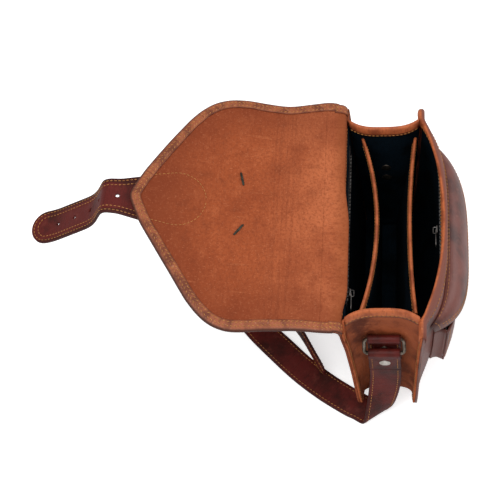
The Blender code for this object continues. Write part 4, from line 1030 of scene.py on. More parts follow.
def flap_surface(across, along, above=0.0):
    leaving = min(1.0, max(0.0, along) / 0.04)
    wave = waver(across * 16, along * 16, 1.7) * 0.0010 * leaving
    ripple = waver(across * 55, along * 42, 5.2) * 0.0003 * leaving
    calm = max(0.0, 1 - abs(along - 0.105) / 0.02)
    sideways = Vector((across + flap_skew * max(0.0, along - 0.02), 0, 0))
    droop = 0.006 * min(1.2, abs(across) / flap_half) ** 4
    sag = droop * eased(along, 0.012, 0.070) * eased(along, 0.205, 0.150)
    rise = above - sag + (wave + ripple) * (1 - calm)
    return hinge_place + sideways + flap_ahead * along + flap_up * rise


print("flap outline:", len(flap_line), "points, half width", round(max(at.x for at in flap_line), 4))

# %% Flap hide and its edge strip
strip_width = 0.011
strip_pattern = 0.026
flap_rows = (0.0048, 0.0088)
row_slants = (math.radians(-28), math.radians(28))
row_rise = 0.0026


def bent(piece, slot, first, second, start, end, *nodes):
    """Bakes the piece where it lies and stands for these nodes; slot, first, second, start and end are not
    used.
    """
    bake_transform(piece)
    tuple(start)
    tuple(end)
    if nodes:
        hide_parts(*nodes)
    return piece


fold_start, fold_end = flap_surface(0, 0.109), flap_surface(0, 0.125)


def bent_flap(piece, slot, *nodes):
    return bent(piece, slot, "flap_back", "flap_point", fold_start, fold_end, *nodes)


flap_cut = [tuple(at + inward * 0.0011) for at, inward in zip(flap_line, flap_inward)]
flap_hide = cut("flap_hide", flap_cut, (0.008, 0.0075), flap_surface, hide, [suede, outer_leather], soften=0)
bent_flap(flap_hide, "suede", "flap_top", "flap_front")

rolled_edge = [(strip_width, 0.0019), (0.0085, 0.0021), (0.0050, 0.0021), (0.0020, 0.0020), (0.0008, 0.0014),
               (0.0003, 0.0005)]
strip_section = rolled_edge + [(inward, -above) for inward, above in reversed(rolled_edge)]
section_last = len(strip_section) - 1


def lay_flap_strip(i, j):
    inward, above = strip_section[i]
    wider = 1 + waver(j * 0.21, 3.3, 0) * 0.06
    at = flap_line[j] + flap_inward[j] * inward * (wider if inward > 0.009 else 1)
    return flap_surface(at.x, at.y, above)


flap_steps = len(flap_line) - 1
flap_strip_hide = roll("flap_edge_strip", section_last, flap_steps, lay_flap_strip, flap_strip,
                       (strip_pattern, outline_spacing * flap_steps))


def pattern_from_edge(strip):
    """Gives a folded strip's pattern the distance from the hide's edge in x, the same on both its sides."""
    layer = strip.data.uv_layers["flat"].data
    for polygon in strip.data.polygons:
        for loop in polygon.loop_indices:
            rank = round((layer[loop].uv.x / strip_pattern + 0.5) * section_last)
            layer[loop].uv.x = strip_section[min(section_last, rank)][0]


pattern_from_edge(flap_strip_hide)
thicken(flap_strip_hide, edge_thick, angle=60)
bent_flap(flap_strip_hide, "edge_leather", "flap_left_edge", "flap_right_edge", "flap_front_edge")

for name, facing in (("flap_inner_seam", 1), ("flap_outer_seam", -1)):
    seam = bmesh.new()
    for inset, slant in zip(flap_rows, row_slants):
        spots = [at + inward * inset for at, inward in zip(flap_line, flap_inward)]
        points = [flap_surface(at.x, at.y, facing * row_rise) for at in spots]
        sew(seam, points, flap_up * facing, slant * facing)
    bent_flap(keep(name, seam, [ochre_thread]), "edge_leather")
print("flap faces:", len(flap_hide.data.polygons))

# %% [markdown]
# At its hinge the same hide turns over a rounded fold and runs down into the back wall. The fold is a piece of
# its own, shaped between the bag and the flap. A row of stitches under it holds the lining.

# %% Hinge fold
fold_radius = 0.006
fold_turn = math.radians(90) - flap_rise
fold_reach = fold_radius * math.tan(fold_turn / 2)
hinge_half = flap_half * far_shares[0][1]


def hinge_normal(along):
    turn = min(max(0.0, fold_reach - along) / fold_radius, fold_turn)
    return flap_up * math.cos(turn) - flap_ahead * math.sin(turn)


fold_foot = fold_reach - fold_radius * fold_turn
fold_last = 0.020
end_rows = 14
under_hinge = 0.1995


def roll_out(across, along):
    """How far the fold has rolled out over the mouth: most in its nearer half, and nothing at its ends."""
    share = clamped((along - fold_foot) / (fold_last - fold_foot))
    bulge = 0.0070 * eased(across, -0.122, -0.086) * (0.12 + 0.88 * eased(across, 0.045, -0.015))
    return bulge * eased(across, 0.122, 0.100) * math.sin(math.pi * math.sqrt(share)) ** 2


def lay_hinge(across, along, above=0.0):
    """On the flap from fold_reach on, round the fold before it, and down the back wall before that."""
    rolled = Vector((0, -roll_out(across, along), 0))
    if along >= fold_reach:
        return flap_surface(across, along, above) + rolled
    left = fold_reach - along
    turned_by = min(left, fold_radius * fold_turn)
    spot = hinge_place + flap_ahead * fold_reach - flap_up * fold_radius + Vector((across, 0, 0)) + rolled
    return spot + hinge_normal(along) * (fold_radius + above) - Vector((0, 0, left - turned_by))


hinge_cut = rectangle(hinge_half, fold_foot - 0.002, fold_last)
hinge_hide = cut("hinge_hide", hinge_cut, (0.008, 0.0012), lay_hinge, hide + 0.00015, [suede, outer_leather],
                 soften=0)
hinge_ends = (lay_hinge(0, fold_foot), lay_hinge(0, fold_reach))
bent(hinge_hide, "suede", "bag", "flap_back", *hinge_ends)
for prefix, sign in ends:

    def lay_end(i, j):
        inward, above = strip_section[i]
        return lay_hinge(sign * (hinge_half - inward), between(fold_foot, 0.0115, end_rows)[j], above * 1.03)
    strip = roll(prefix + "_hinge_strip", section_last, end_rows, lay_end, flap_strip, (strip_pattern, 0.018))
    pattern_from_edge(strip)
    thicken(strip, edge_thick, angle=60)
    bent(strip, "edge_leather", "bag", "flap_back", *hinge_ends)
    seam = bmesh.new()
    line = between(fold_foot + 0.001, 0.0105, end_rows)
    for inset, slant in zip(flap_rows, row_slants):
        for facing in (-1, 1):
            points = [lay_hinge(sign * (hinge_half - inset), along, facing * row_rise) for along in line]
            sew(seam, points, [hinge_normal(along) * facing for along in line], slant)
    bent(keep(prefix + "_hinge_seam", seam, [ochre_thread]), "edge_leather", "bag", "flap_back", *hinge_ends)
seam = bmesh.new()
spots = [Vector((x, lean(under_hinge) - hide - 0.0001, under_hinge)) for x in between(-0.112, 0.112, 60)]
sew(seam, spots, Vector((0, -1, 0)), thick=0.0006)
sewn("lining_seam", seam, "bag")
print("fold starts at", round(fold_foot, 4), "and ends at", round(fold_reach, 4))

# %% [markdown]
# Two split studs go through the flap: domed heads outside, and on the suede side two flat legs that were
# bent apart. A turned piece is a profile spun about its axis.

# %% Studs
turned_sides = 24
tip = 1e-7
leg_reach = 0.0078
leg_steps = 8

def turned(name, place, direction, profile, paint):
    """Spins a profile of (along the axis, radius) about direction through place."""
    axis = Vector(direction).normalized()
    side = axis.orthogonal().normalized()
    shape = bmesh.new()
    rim = [shape.verts.new(Vector(place) + axis * along + side * radius) for along, radius in profile]
    edges = [shape.edges.new(pair) for pair in zip(rim, rim[1:])]
    bmesh.ops.spin(shape, geom=rim + edges, cent=place, axis=axis, angle=math.tau, steps=turned_sides,
                   use_merge=True, use_duplicate=False)
    bmesh.ops.remove_doubles(shape, verts=shape.verts, dist=1e-6)
    bmesh.ops.recalc_face_normals(shape, faces=shape.faces)
    return keep(name, shape, [paint])


def dome(base, height, radius):
    """A profile from the middle of a domed head down to its rim."""
    return [(base + height * math.cos(turn), max(tip, radius * math.sin(turn)))
            for turn in between(0.0, math.pi / 2, 6)]


for prefix, side, tilt in (("left", -1, -35), ("right", 1, 14)):
    stud_place = flap_surface(side * 0.030, 0.105)
    profile = dome(-0.0016, height=-0.0013, radius=0.0042) + [
        (-0.0013, 0.0038), (-0.0012, 0.0012), (0.0012, 0.0012), (0.0014, 0.0016), (0.0021, 0.0012),
        (0.0022, tip)]
    stud = turned(prefix + "_stud", stud_place, flap_up, profile, aged_metal)
    legs = bmesh.new()
    angle = math.radians(tilt)
    across = flap_ahead * math.cos(angle) - Vector((math.sin(angle), 0, 0))
    for way in (-1, 1):
        rows = []
        for count, reach in enumerate(between(0.0, leg_reach, leg_steps)):
            lift = 0.0017 + 0.0005 * math.sin(math.pi * reach / leg_reach) * (0.6 if way < 0 else 1)
            spot = (stud_place + Vector((way * reach * math.cos(angle), 0, 0))
                    + flap_ahead * way * reach * math.sin(angle) + flap_up * lift)
            half = 0.0011 * (1 - 0.35 * max(0.0, count / leg_steps - 0.75) / 0.25)
            rows.append([legs.verts.new(spot + across * half * a + flap_up * 0.00045 * b)
                         for a, b in ((-1, -1), (1, -1), (1, 1), (-1, 1))])
        for first, second in zip(rows, rows[1:]):
            for a in range(4):
                legs.faces.new((first[a], first[(a + 1) % 4], second[(a + 1) % 4], second[a]))
        legs.faces.new(rows[0])
        legs.faces.new(rows[-1])
    bmesh.ops.recalc_face_normals(legs, faces=legs.faces)
    attach(stud, "flap_back", "aged_metal", prefix + "_flap_stud")
    attach(keep(prefix + "_stud_legs", legs, [leg_metal], smooth=False), "flap_back", "aged_metal")
print("studs pushed through")

# %% [markdown]
# ## The closure strap
# The closure is sewn under the flap's point. It is round at that end, narrows, runs past the tip and droops
# where it has been bent many times. Its flat pattern is laid along the flap and then round the bend.

# %% Closure
closure_half = 0.0195
closure_start = 0.139
closure_round = 0.032
closure_nose = 0.0176
closure_bend = 0.247
closure_end = 0.366
closure_under = -0.0041
bend_from = 0.236
bend_step = 0.001
hole_pitch = 0.0253
hole_radius = 0.0021


def closure_turn(along):
    """How far down the closure points: it drops steeply, then eases twice towards its end."""
    steep = 72 * eased(along, bend_from, 0.254)
    return math.radians(steep - 30 * eased(along, 0.262, 0.295) - 22 * eased(along, 0.325, 0.360))


closure_path = [Vector((bend_from, 0.0))]
while len(closure_path) < 140:
    turn = closure_turn(bend_from + bend_step * (len(closure_path) - 0.5))
    closure_path.append(closure_path[-1] + Vector((math.cos(turn), -math.sin(turn))) * bend_step)


def lay_closure(across, along, above=0.0):
    """Flat along the flap, then along the path of the bend."""
    where, turn = Vector((along, 0.0)), closure_turn(along)
    if along > bend_from:
        whole, part = divmod((along - bend_from) / bend_step, 1)
        where = closure_path[int(whole)].lerp(closure_path[int(whole) + 1], part)
    free = min(1.0, max(0.0, along - 0.215) / 0.02)
    slow = waver(across * 30, along * 22, 8.1) * 0.0006 * free
    where = where + Vector((math.sin(turn), math.cos(turn))) * (above + slow)
    sideways = Vector((across + flap_skew * (min(along, 0.235) - 0.02), 0, 0))
    return hinge_place + sideways + flap_ahead * where.x + flap_up * (where.y + closure_under)


round_middle = closure_start + closure_round
nose_middle = closure_end - closure_nose
closure_right = [Vector((closure_round * math.sin(turn), round_middle - closure_round * math.cos(turn)))
                 for turn in between(0.0, math.pi / 2, 9)]
closure_right += [Vector((closure_round * 0.80, flap_length - 0.0107)), Vector((0.0203, 0.229)),
                  Vector((closure_half, closure_bend))]
closure_right += [Vector((closure_half * math.cos(turn), nose_middle + closure_nose * math.sin(turn)))
                  for turn in between(0.0, math.pi / 2, 7)]
closure_line = even(closure_right + [Vector((-at.x, at.y)) for at in reversed(closure_right)][1:], 0.0026, 2)
closure_inward = inward_of(closure_line)
closure_cut = [tuple(at) for at in closure_line[:-1]]
closure = cut("closure_hide", closure_cut, (0.005, 0.0042), lay_closure, hide, [strap_leather])
holes = [closure_bend - 0.016 + hole_pitch * count for count in range(5)]
print("closure outline:", len(closure_line), "points")

# %% The closure's holes and seams
closure_rows = (0.0029, 0.0076)


def punch(piece, places, radius):
    """Bores straight holes through a piece at (place, direction) pairs."""
    drills = bmesh.new()
    for place, direction in places:
        turn = Vector((0, 0, 1)).rotation_difference(direction).to_matrix().to_4x4()
        bmesh.ops.create_cone(drills, cap_ends=True, segments=16, radius1=radius, radius2=radius, depth=0.02,
                              matrix=Matrix.Translation(place) @ turn)
    drill = keep("drill", drills, [], smooth=False)
    bore = piece.modifiers.new("holes", "BOOLEAN")
    bore.operation = "DIFFERENCE"
    bore.object = drill
    settle(piece)
    bpy.data.objects.remove(drill, do_unlink=True)


def closure_normal(along):
    step = (lay_closure(0, along + 0.001) - lay_closure(0, along - 0.001)).normalized()
    return Vector((1, 0, 0)).cross(step).normalized()


punch(closure, [(lay_closure(0, at), closure_normal(at)) for at in holes], hole_radius)
bend_ends = (lay_closure(0, closure_bend - 0.011), lay_closure(0, closure_bend + 0.011))
bent(closure, "strap_leather", "flap_point", "closure_end", *bend_ends, "closure_base", "closure_strap")
on_skin = hide / 2 + 0.0001
seam = bmesh.new()
for facing in (-1, 1):
    for inset in closure_rows:
        row = []
        for at, inward in zip(closure_line, closure_inward):
            spot = at + inward * inset
            if facing < 0 or spot.y >= flap_length - 0.010:
                row.append((lay_closure(spot.x, spot.y, facing * on_skin), closure_normal(spot.y) * facing))
        for start, ((here, _), (there, _)) in enumerate(zip(row, row[1:])):
            if (there - here).length > 0.01:
                row = row[start + 1:] + row[:start + 1]
                break
        sew(seam, [point for point, _ in row], [normal for _, normal in row])
bent(keep("closure_seam", seam, [ochre_thread]), "edge_leather", "flap_point", "closure_end", *bend_ends)
seam = bmesh.new()
middle = len(closure_line) // 2
for part in (slice(1, middle), slice(middle, -1)):
    line = [at + inward * 0.0010 for at, inward in zip(closure_line[part], closure_inward[part])
            if at.y < flap_length - 0.013]
    sew(seam, [flap_surface(at.x, at.y, on_skin) for at in line], flap_up, thick=0.0007)
attach(keep("closure_seam_on_suede", seam, [ochre_thread]), "flap_point", "edge_leather")
print("closure reaches", [round(value, 3) for value in lay_closure(0, closure_end)])

# %% [markdown]
# ## The front pocket
# A box pocket stands on the front wall: a band round three sides, a front, and a flap that bulges over it.

# %% Pocket
pocket_half = 0.103
pocket_bottom = 0.058
pocket_top = 0.144
pocket_depth = 0.013
pocket_corner = 0.021
pocket_leather = 0.0022


def pocket_face(x, z):
    return front_face(x, z) - gap - pocket_depth - gap


def rounded_side(inset=0.0, steps=6):
    """The pocket's outline on its right: down the side, round the corner, to the middle of the bottom."""
    middle = Vector((pocket_half - pocket_corner, pocket_bottom + pocket_corner))
    radius = pocket_corner - inset
    points = [Vector((pocket_half - inset, z)) for z in between(pocket_top, middle.y, 9)]
    points += [middle + Vector((math.cos(turn), -math.sin(turn))) * radius
               for turn in between(0.0, math.pi / 2, steps)[1:]]
    return points + [Vector((x, pocket_bottom + inset)) for x in between(middle.x, 0.0, 12)[1:]]


def both_sides(points):
    return points + [Vector((-at.x, at.y)) for at in reversed(points[:-1])]


def lay_pocket(x, z):
    puff = waver(x * 24, z * 24, 2.6) * 0.0007
    return Vector((x, pocket_face(x, z) - pocket_leather / 2 + puff, z))


pocket_cut = [tuple(at) for at in both_sides(rounded_side())]
pocket = cut("pocket_front_hide", pocket_cut, (0.008, 0.008), lay_pocket, pocket_leather, [outer_leather])
attach(pocket, "bag", "outer_leather", "pocket_front")
band_line = both_sides(rounded_side(0.0012))
band_rows = 8


def lay_band(i, j):
    at = band_line[j]
    centre = Vector((0, pocket_top))
    spot = at + (centre - at).normalized() * (math.sin(math.pi * i / band_rows) * 0.0022)
    depth = gap + 0.0002 + (pocket_depth - 0.0004) * i / band_rows
    return Vector((spot.x, front_face(at.x, at.y) - depth, spot.y))


band = roll("pocket_band_hide", band_rows, len(band_line) - 1, lay_band, outer_leather, (0.015, 0.33))
thicken(band, 0.0016)
attach(band, "bag", "outer_leather", "pocket_gusset")
seam = bmesh.new()
line = both_sides(rounded_side(0.0035))
sew(seam, [Vector((at.x, pocket_face(at.x, at.y) - pocket_leather - 0.0001, at.y)) for at in line],
    Vector((0, -1, 0)))
sewn("pocket_seam", seam, "bag")
print("pocket outline:", len(band_line), "points")

# %% Pocket flap
pocket_flap_top = 0.172
pocket_flap_half = 0.110
bulge_half = 0.113
lid_columns, lid_rows = 56, 16


def pocket_skin(x, q, inset=0.0):
    """A place on the pocket's flap: q runs from 0 at its hinge to 1 at its free edge."""
    bulge = max(0.0, 1 - (abs(x) / bulge_half) ** 3)
    out = 0.0245 * bulge**0.7
    down = 0.009 + 0.032 * bulge
    start = front_face(x, pocket_flap_top) - gap * 2
    angle = q * math.pi / 2
    point = Vector((x, start - out * math.sin(angle), pocket_flap_top - down * (1 - math.cos(angle))))
    ahead = Vector((0, -out * math.cos(angle), -down * math.sin(angle) - 1e-5)).normalized()
    return point + Vector((0, abs(ahead.z), -abs(ahead.y))) * inset


def lay_pocket_flap(i, j):
    x = (i / lid_columns * 2 - 1) * pocket_flap_half
    q = j / lid_rows
    puff = waver(x * 20, q * 2.2, 6.4) * 0.0007 * math.sin(math.pi * q)
    return pocket_skin(x, q, pocket_leather / 2 + 0.0001) + Vector((0, puff, 0))


pocket_flap = roll("pocket_flap_hide", lid_columns, lid_rows, lay_pocket_flap, outer_leather, (0.214, 0.05))
thicken(pocket_flap, pocket_leather, 0.0004)
attach(pocket_flap, "pocket_lid", "outer_leather", "pocket_flap")
seam = bmesh.new()
row_half = pocket_flap_half - 0.006
for inset in (0.0032, 0.0062):
    points, normals = [], []
    for x in between(-row_half, row_half, 90):
        q = 1 - inset / (0.035 * (1 - (abs(x) / bulge_half) ** 3) + 0.009)
        points.append(pocket_skin(x, q))
        normals.append(Vector((0, -math.sin(q * 1.5), math.cos(q * 1.5))))
    sew(seam, points, normals)
for x in (-pocket_flap_half + 0.0035, pocket_flap_half - 0.0035):
    sew(seam, [pocket_skin(x, q) for q in between(0.05, 0.95, 8)], Vector((0, -0.5, 0.85)))
sew(seam, [pocket_skin(x, 0.10) for x in between(-0.100, 0.100, 70)], Vector((0, 0, 1)))
sewn("pocket_flap_seam", seam, "pocket_lid")
print("pocket made")

# %% [markdown]
# ## Straps, loops and metal
# A leather loop is a long hairpin: up one side of a bar, over it, and down the other. Rings and buckle
# frames are round bars bent to a rounded rectangle.

# %% Loops and bars
loop_spacing = 0.0012
loop_columns = 6
bar_sides = 12
turn_steps = 14


def arc_points(centre, radius, start, end, steps):
    turns = [math.radians(turn) for turn in between(start, end, steps)]
    return [Vector((centre[0] + radius * math.cos(turn), centre[1] + radius * math.sin(turn)))
            for turn in turns]


def leather_loop(name, path, lay, width, thick, body, *nodes):
    """path is a flat line of (a, b); lay(a, b, c) puts it in place, c being the place across the leather."""
    line = even(path, loop_spacing, 1)

    def place(i, j):
        return lay(line[j].x, line[j].y, (i / loop_columns - 0.5) * width)
    steps = len(line) - 1
    loop = roll(name, loop_columns, steps, place, strap_leather, (width, loop_spacing * steps))
    return attach(thicken(loop, thick, 0.0004, angle=50), body, "strap_leather", *nodes)


def hairpin(start, meet, bar, loop, first, second):
    """Up beside first, round the bar at loop's distance from it, and down again beside second."""
    rise = [Vector((first, start)), Vector((first, meet)), Vector((bar[0] - loop, bar[1]))]
    over = arc_points(bar, loop, 180, 0, turn_steps)[1:]
    return rise + over + [Vector((second, meet)), Vector((second, start))]


def bar_loop(name, origin, side, ahead, paint, half, low, high, corner_size, radius, spacing=0.0016):
    """A round bar bent to a rounded rectangle: half to each side, from low to high ahead."""
    line = []
    for corner_side, corner_ahead, start in ((1, high, 0), (-1, high, 90), (-1, low, 180), (1, low, 270)):
        inset = corner_size if start >= 180 else -corner_size
        middle = (corner_side * (half - corner_size), corner_ahead + inset)
        line += arc_points(middle, corner_size, start, start + 90, 6)
    line = even(line + line[:1], spacing, 0)
    normal = side.cross(ahead).normalized()
    count = len(line) - 1

    def lay(i, j):
        here, before, after = line[j % count], line[(j - 1) % count], line[(j + 1) % count]
        flat = (after - before).normalized()
        out = side * flat.y - ahead * flat.x
        turn = math.tau * (i % bar_sides) / bar_sides
        worn = 1 + waver(here.x * 90, here.y * 90, 1) * 0.05
        return (origin + side * here.x + ahead * here.y
                + (out * math.cos(turn) + normal * math.sin(turn)) * radius * worn)
    return roll(name, bar_sides, count, lay, paint, (math.tau * radius, spacing * count), closed=(True, True))


print("loop helpers ready")

# %% Ring tabs, rings and strap ends
tab_thick = 0.0022
tab_width = 0.034
tab_foot = 0.100
ring_bar = 0.0020
ring_height = 0.150
ring_span = 0.019
ring_tilt = math.radians(24)
strap_thick = 0.0026
clearance = 0.00035
stitch_inset = 0.0035
strap_slant = math.radians(6)
rivet_shank = 0.0016
tab_back = seam_half - fold_in + gap + tab_thick / 2
ring_out = tab_back + ring_bar + clearance + tab_thick / 2
tab_front = tab_back + tab_thick + gap
rivet_places = (("lower", 0.108), ("upper", 0.128))


def sew_strip(seam, middles, half, face):
    """A row of stitches near each edge of a straight strap; face reaches from its middle to its skin."""
    for edge in (-1, 1):
        across = Vector((0, edge * (half - stitch_inset), 0))
        sew(seam, [middle + across + face for middle in middles], face.normalized(), strap_slant)


for prefix, sign in ends:

    def place(a, b, c):
        return Vector((sign * a, c, b))
    loop = ring_bar + clearance + tab_thick / 2
    path = hairpin(tab_foot, ring_height - loop * 3.6, (ring_out, ring_height), loop, tab_back, tab_front)
    leather_loop(prefix + "_tab_hide", path, place, tab_width, tab_thick, "bag", prefix + "_ring_tab")
    seam = bmesh.new()
    sew_strip(seam, [place(tab_front, 0.103 + j * 0.0038, 0) for j in range(10)], tab_width / 2,
              Vector((sign * (tab_thick / 2 + 0.0001), 0, 0)))
    sewn(prefix + "_tab_seam", seam, "bag")
    inside = seam_half - fold_in - gusset_thick - gap - cloth
    outside = tab_front + tab_thick / 2
    profile = dome(outside, height=0.0016, radius=0.0040) + [
        (outside, rivet_shank), (inside, rivet_shank), (inside, 0.0056), (inside - 0.0009, 0.0050),
        (inside - 0.0013, 0.0024), (inside - 0.0014, tip)]
    for rank, z in rivet_places:
        rivet = turned(f"{prefix}_{rank}_tab_rivet", place(0, z, 0), (sign, 0, 0), profile, aged_metal)
        attach(rivet, "bag", "rivet_metal", f"{prefix}_tab_{rank}_rivet")
    swing = prefix + "_ring_group"
    down = Vector((sign * math.sin(ring_tilt), 0, -math.cos(ring_tilt)))
    axis = place(ring_out, ring_height, 0)
    ring = bar_loop(prefix + "_ring_bar", axis, Vector((0, 1, 0)), down, aged_metal,
                    half=strap_width / 2 + 0.0018 + ring_bar, low=0.0, high=ring_span, corner_size=0.004,
                    radius=ring_bar)
    attach(ring, swing, "aged_metal", prefix + "_ring")
    low = axis + down * ring_span
    loop = ring_bar + clearance + strap_thick / 2
    layer = strap_thick / 2 + gap / 2
    middle = abs(low.x)
    path = hairpin(low.z - 0.035, low.z - loop * 3, (middle, low.z), loop, middle - layer, middle + layer)
    leather_loop(prefix + "_strap_end_hide", path, place, strap_width, strap_thick, swing,
                 prefix + "_strap_end")
    seam = bmesh.new()
    face = layer + strap_thick / 2
    for facing in (-1, 1):
        sew_strip(seam, [place(middle, low.z - 0.033 + j * 0.0042, 0) for j in range(7)], strap_width / 2,
                  Vector((facing * sign * (face + 0.0001), 0, 0)))
    sewn(prefix + "_strap_end_seam", seam, swing)
    profile = dome(face, height=0.0015, radius=0.0060) + [
        (face, rivet_shank), (-face, rivet_shank), (-face, 0.0040), (-face - 0.0007, 0.0036),
        (-face - 0.0008, tip)]
    rivet = turned(prefix + "_end_rivet", place(middle, low.z - 0.019, 0), (sign, 0, 0), profile,
                   bright_metal)
    attach(rivet, swing, "rivet_metal", prefix + "_strap_rivet")
print("ring axis at", [round(value, 4) for value in axis])

# %% [markdown]
# ## The shoulder strap
# The strap hangs from both rings and lies behind the bag, partly on its edge. Each side is one long strap
# on a smooth curve through a table of places, each with the direction across the strap there.

# %% Strap routes
upright = (0, 1, 0)
flat_on = (0, 0, 1)
left_route = [
    ((-0.1230, 0.000, 0.0971), upright), ((-0.1243, 0.0005, 0.075), upright),
    ((-0.1295, 0.003, 0.050), (-0.12, 1, 0)), ((-0.1370, 0.0075, 0.026), (-0.35, 0.93, 0)),
    ((-0.1405, 0.0120, 0.010), (-0.55, 0.84, 0)), ((-0.1380, 0.0175, 0.0032), (-0.62, 0.78, 0)),
    ((-0.1314, 0.0270, 0.0016), (-0.72, 0.69, 0)), ((-0.1245, 0.0400, 0.0016), (-0.79, 0.62, 0)),
    ((-0.1061, 0.069, 0.0016), (-0.79, 0.62, 0)), ((-0.0839, 0.0975, 0.0016), (-0.77, 0.64, 0)),
    ((-0.0571, 0.126, 0.0022), (-0.72, 0.69, 0)), ((-0.0326, 0.153, 0.0075), (-0.62, 0.72, 0.3)),
    ((-0.0068, 0.179, 0.0168), (-0.3, 0.35, 0.9)), ((0.0197, 0.2000, 0.0190), flat_on),
    ((0.0455, 0.208, 0.0208), flat_on),
]
right_route = [
    ((0.1230, 0.000, 0.0971), upright), ((0.1252, 0.001, 0.074), upright),
    ((0.1330, 0.005, 0.050), (-0.05, 1, 0.15)), ((0.1450, 0.0125, 0.033), (-0.05, 0.85, 0.45)),
    ((0.1560, 0.026, 0.0225), (0, 0.5, 0.87)), ((0.1610, 0.050, 0.0178), (0, 0.1, 1)),
]
right_route += [(place, flat_on) for place in (
    (0.1620, 0.085, 0.0172), (0.1560, 0.130, 0.0172), (0.1400, 0.172, 0.0175), (0.1130, 0.205, 0.0190),
    (0.0870, 0.2114, 0.0208), (0.0790, 0.2104, 0.0208), (0.0680, 0.2030, 0.0208), (0.0570, 0.2014, 0.0208),
    (0.0400, 0.196, 0.0206), (0.0250, 0.180, 0.0195), (0.0110, 0.163, 0.0180), (-0.0030, 0.144, 0.0172),
    (-0.0180, 0.124, 0.0172), (-0.0330, 0.108, 0.0172), (-0.0490, 0.0965, 0.0172), (-0.0660, 0.0870, 0.0185),
    (-0.0820, 0.0785, 0.0205), (-0.0960, 0.0700, 0.0212),
)]
print("rows in the tables:", len(left_route), len(right_route))

# %% Straps
strap_columns = 8
row_steps = 8


def through(rows):
    """(middle, side) at stations on a smooth curve through the rows, with as many steps from row to row."""
    points = [Vector(row[0]) for row in rows]
    sides = [Vector(row[1]).normalized() for row in rows]
    last = len(rows) - 1
    stations = []
    for i in range(last):
        for k in range(row_steps + (i == last - 1)):
            t = k / row_steps
            mixed = []
            for values in (points, sides):
                before, start = values[max(i - 1, 0)], values[i]
                end, after = values[i + 1], values[min(i + 2, last)]
                pull_in = (end - before) / (2 if i > 0 else 1)
                pull_out = (after - start) / (2 if i < last - 1 else 1)
                mixed.append(start * (2 * t**3 - 3 * t**2 + 1) + end * (3 * t**2 - 2 * t**3)
                             + pull_in * (t**3 - 2 * t**2 + t) + pull_out * (t**3 - t**2))
            stations.append((mixed[0], mixed[1].normalized()))
    return stations


def strap(prefix, rows, rounding, bend_low):
    """One strap from its ring; rounding is the length over which its far end rounds off."""
    name, swing = prefix + "_strap", prefix + "_ring_group"
    stations = through(rows)
    lengths = [0.0]
    for (here, _), (there, _) in zip(stations, stations[1:]):
        lengths.append(lengths[-1] + (there - here).length)
    count = len(stations)

    def frame_at(j):
        middle, side = stations[j]
        ahead = (stations[min(j + 1, count - 1)][0] - stations[max(j - 1, 0)][0]).normalized()
        return middle, side, ahead.cross(side).normalized()

    def half_at(j):
        left = lengths[-1] - lengths[j]
        if left >= rounding:
            return strap_width / 2
        return strap_width / 2 * max(0.3, math.sqrt(1 - (1 - left / rounding) ** 2))

    def lay(i, j):
        middle, side, face = frame_at(j)
        across = i / strap_columns * 2 - 1
        cup = waver(lengths[j] * 26, 2.4, sum(rows[0][0]) * 9) * 0.0005 * (1 - across**2)
        spot = middle + side * across * half_at(j) + face * cup
        return Vector((spot.x, spot.y, max(spot.z, 0.0006)))
    made = roll(name, strap_columns, count - 1, lay, strap_leather, (strap_width, lengths[-1]))
    thicken(made, strap_thick, 0.0004, angle=50)
    seam = bmesh.new()
    wide = [j for j in range(1, count) if half_at(j) > stitch_inset * 1.6]
    for facing in (-1, 1):
        for edge in (-1, 1):
            points, normals = [], []
            for j in wide:
                middle, side, face = frame_at(j)
                lift = face * facing * (strap_thick / 2 + 0.0001)
                points.append(middle + side * edge * (half_at(j) - stitch_inset) + lift)
                normals.append(face * facing)
            sew(seam, points, normals, strap_slant)
    bend = (stations[0][0], next(at for at, _ in stations if at.z < bend_low))
    bent(made, "strap_leather", swing, "bag", *bend, name + "_drop", name + "_floor")
    bent(keep(name + "_seam", seam, [ochre_thread]), "edge_leather", swing, "bag", *bend)
    print(name, "length", round(lengths[-1], 3))


strap("left", left_route, 0.0, 0.026)
strap("right", right_route, strap_width * 0.45, 0.05)

# %% Strap buckle
buckle_bar = 0.0018
chape_thick = 0.0018
prong_radius = 0.0008
prong_sides = 10
buckle_corner = 0.0025
strap_buckle = Vector((0.072, 0.208, 0.0208))
bar_x = strap_buckle.x - 0.012


def at_strap_buckle(a, b, c):
    return Vector((bar_x + a, strap_buckle.y + b, strap_buckle.z + c))


buckle_bars = bar_loop("strap_buckle_bars", at_strap_buckle(0, 0, 0), Vector((0, 0, 1)), Vector((1, 0, 0)),
                       aged_metal, half=0.0171 + buckle_bar, low=0.0, high=0.024, corner_size=buckle_corner,
                       radius=buckle_bar)
attach(buckle_bars, "bag", "aged_metal", "strap_buckle_frame")
loop = buckle_bar + clearance + chape_thick / 2
layer = chape_thick / 2 + gap / 2
ends_at = -0.014
path = [Vector((ends_at, layer)), Vector((-loop * 3.2, layer))] + arc_points((0, 0), loop, 90, -90, 12)
path += [Vector((-loop * 3.2, -layer)), Vector((ends_at, -layer))]
leather_loop("strap_buckle_hide", path, at_strap_buckle, strap_width, chape_thick, "bag", "strap_buckle_loop")


def prong(name, path, lay, body, node):
    """A round prong along a flat path; it thins a little towards its tip."""
    line = even(path, 0.0008, 1)
    count = len(line) - 1

    def place(i, j):
        ahead = (line[min(j + 1, count)] - line[max(j - 1, 0)]).normalized()
        turn = math.tau * (i % prong_sides) / prong_sides
        radius = prong_radius * (1 - 0.25 * j / count)
        spot = line[j] + Vector((-ahead.y, ahead.x)) * radius * math.cos(turn)
        return lay(spot.x, spot.y, radius * math.sin(turn))
    made = roll(name, prong_sides, count, place, aged_metal, closed=(True, False), capped=True)
    return attach(made, body, "aged_metal", node)


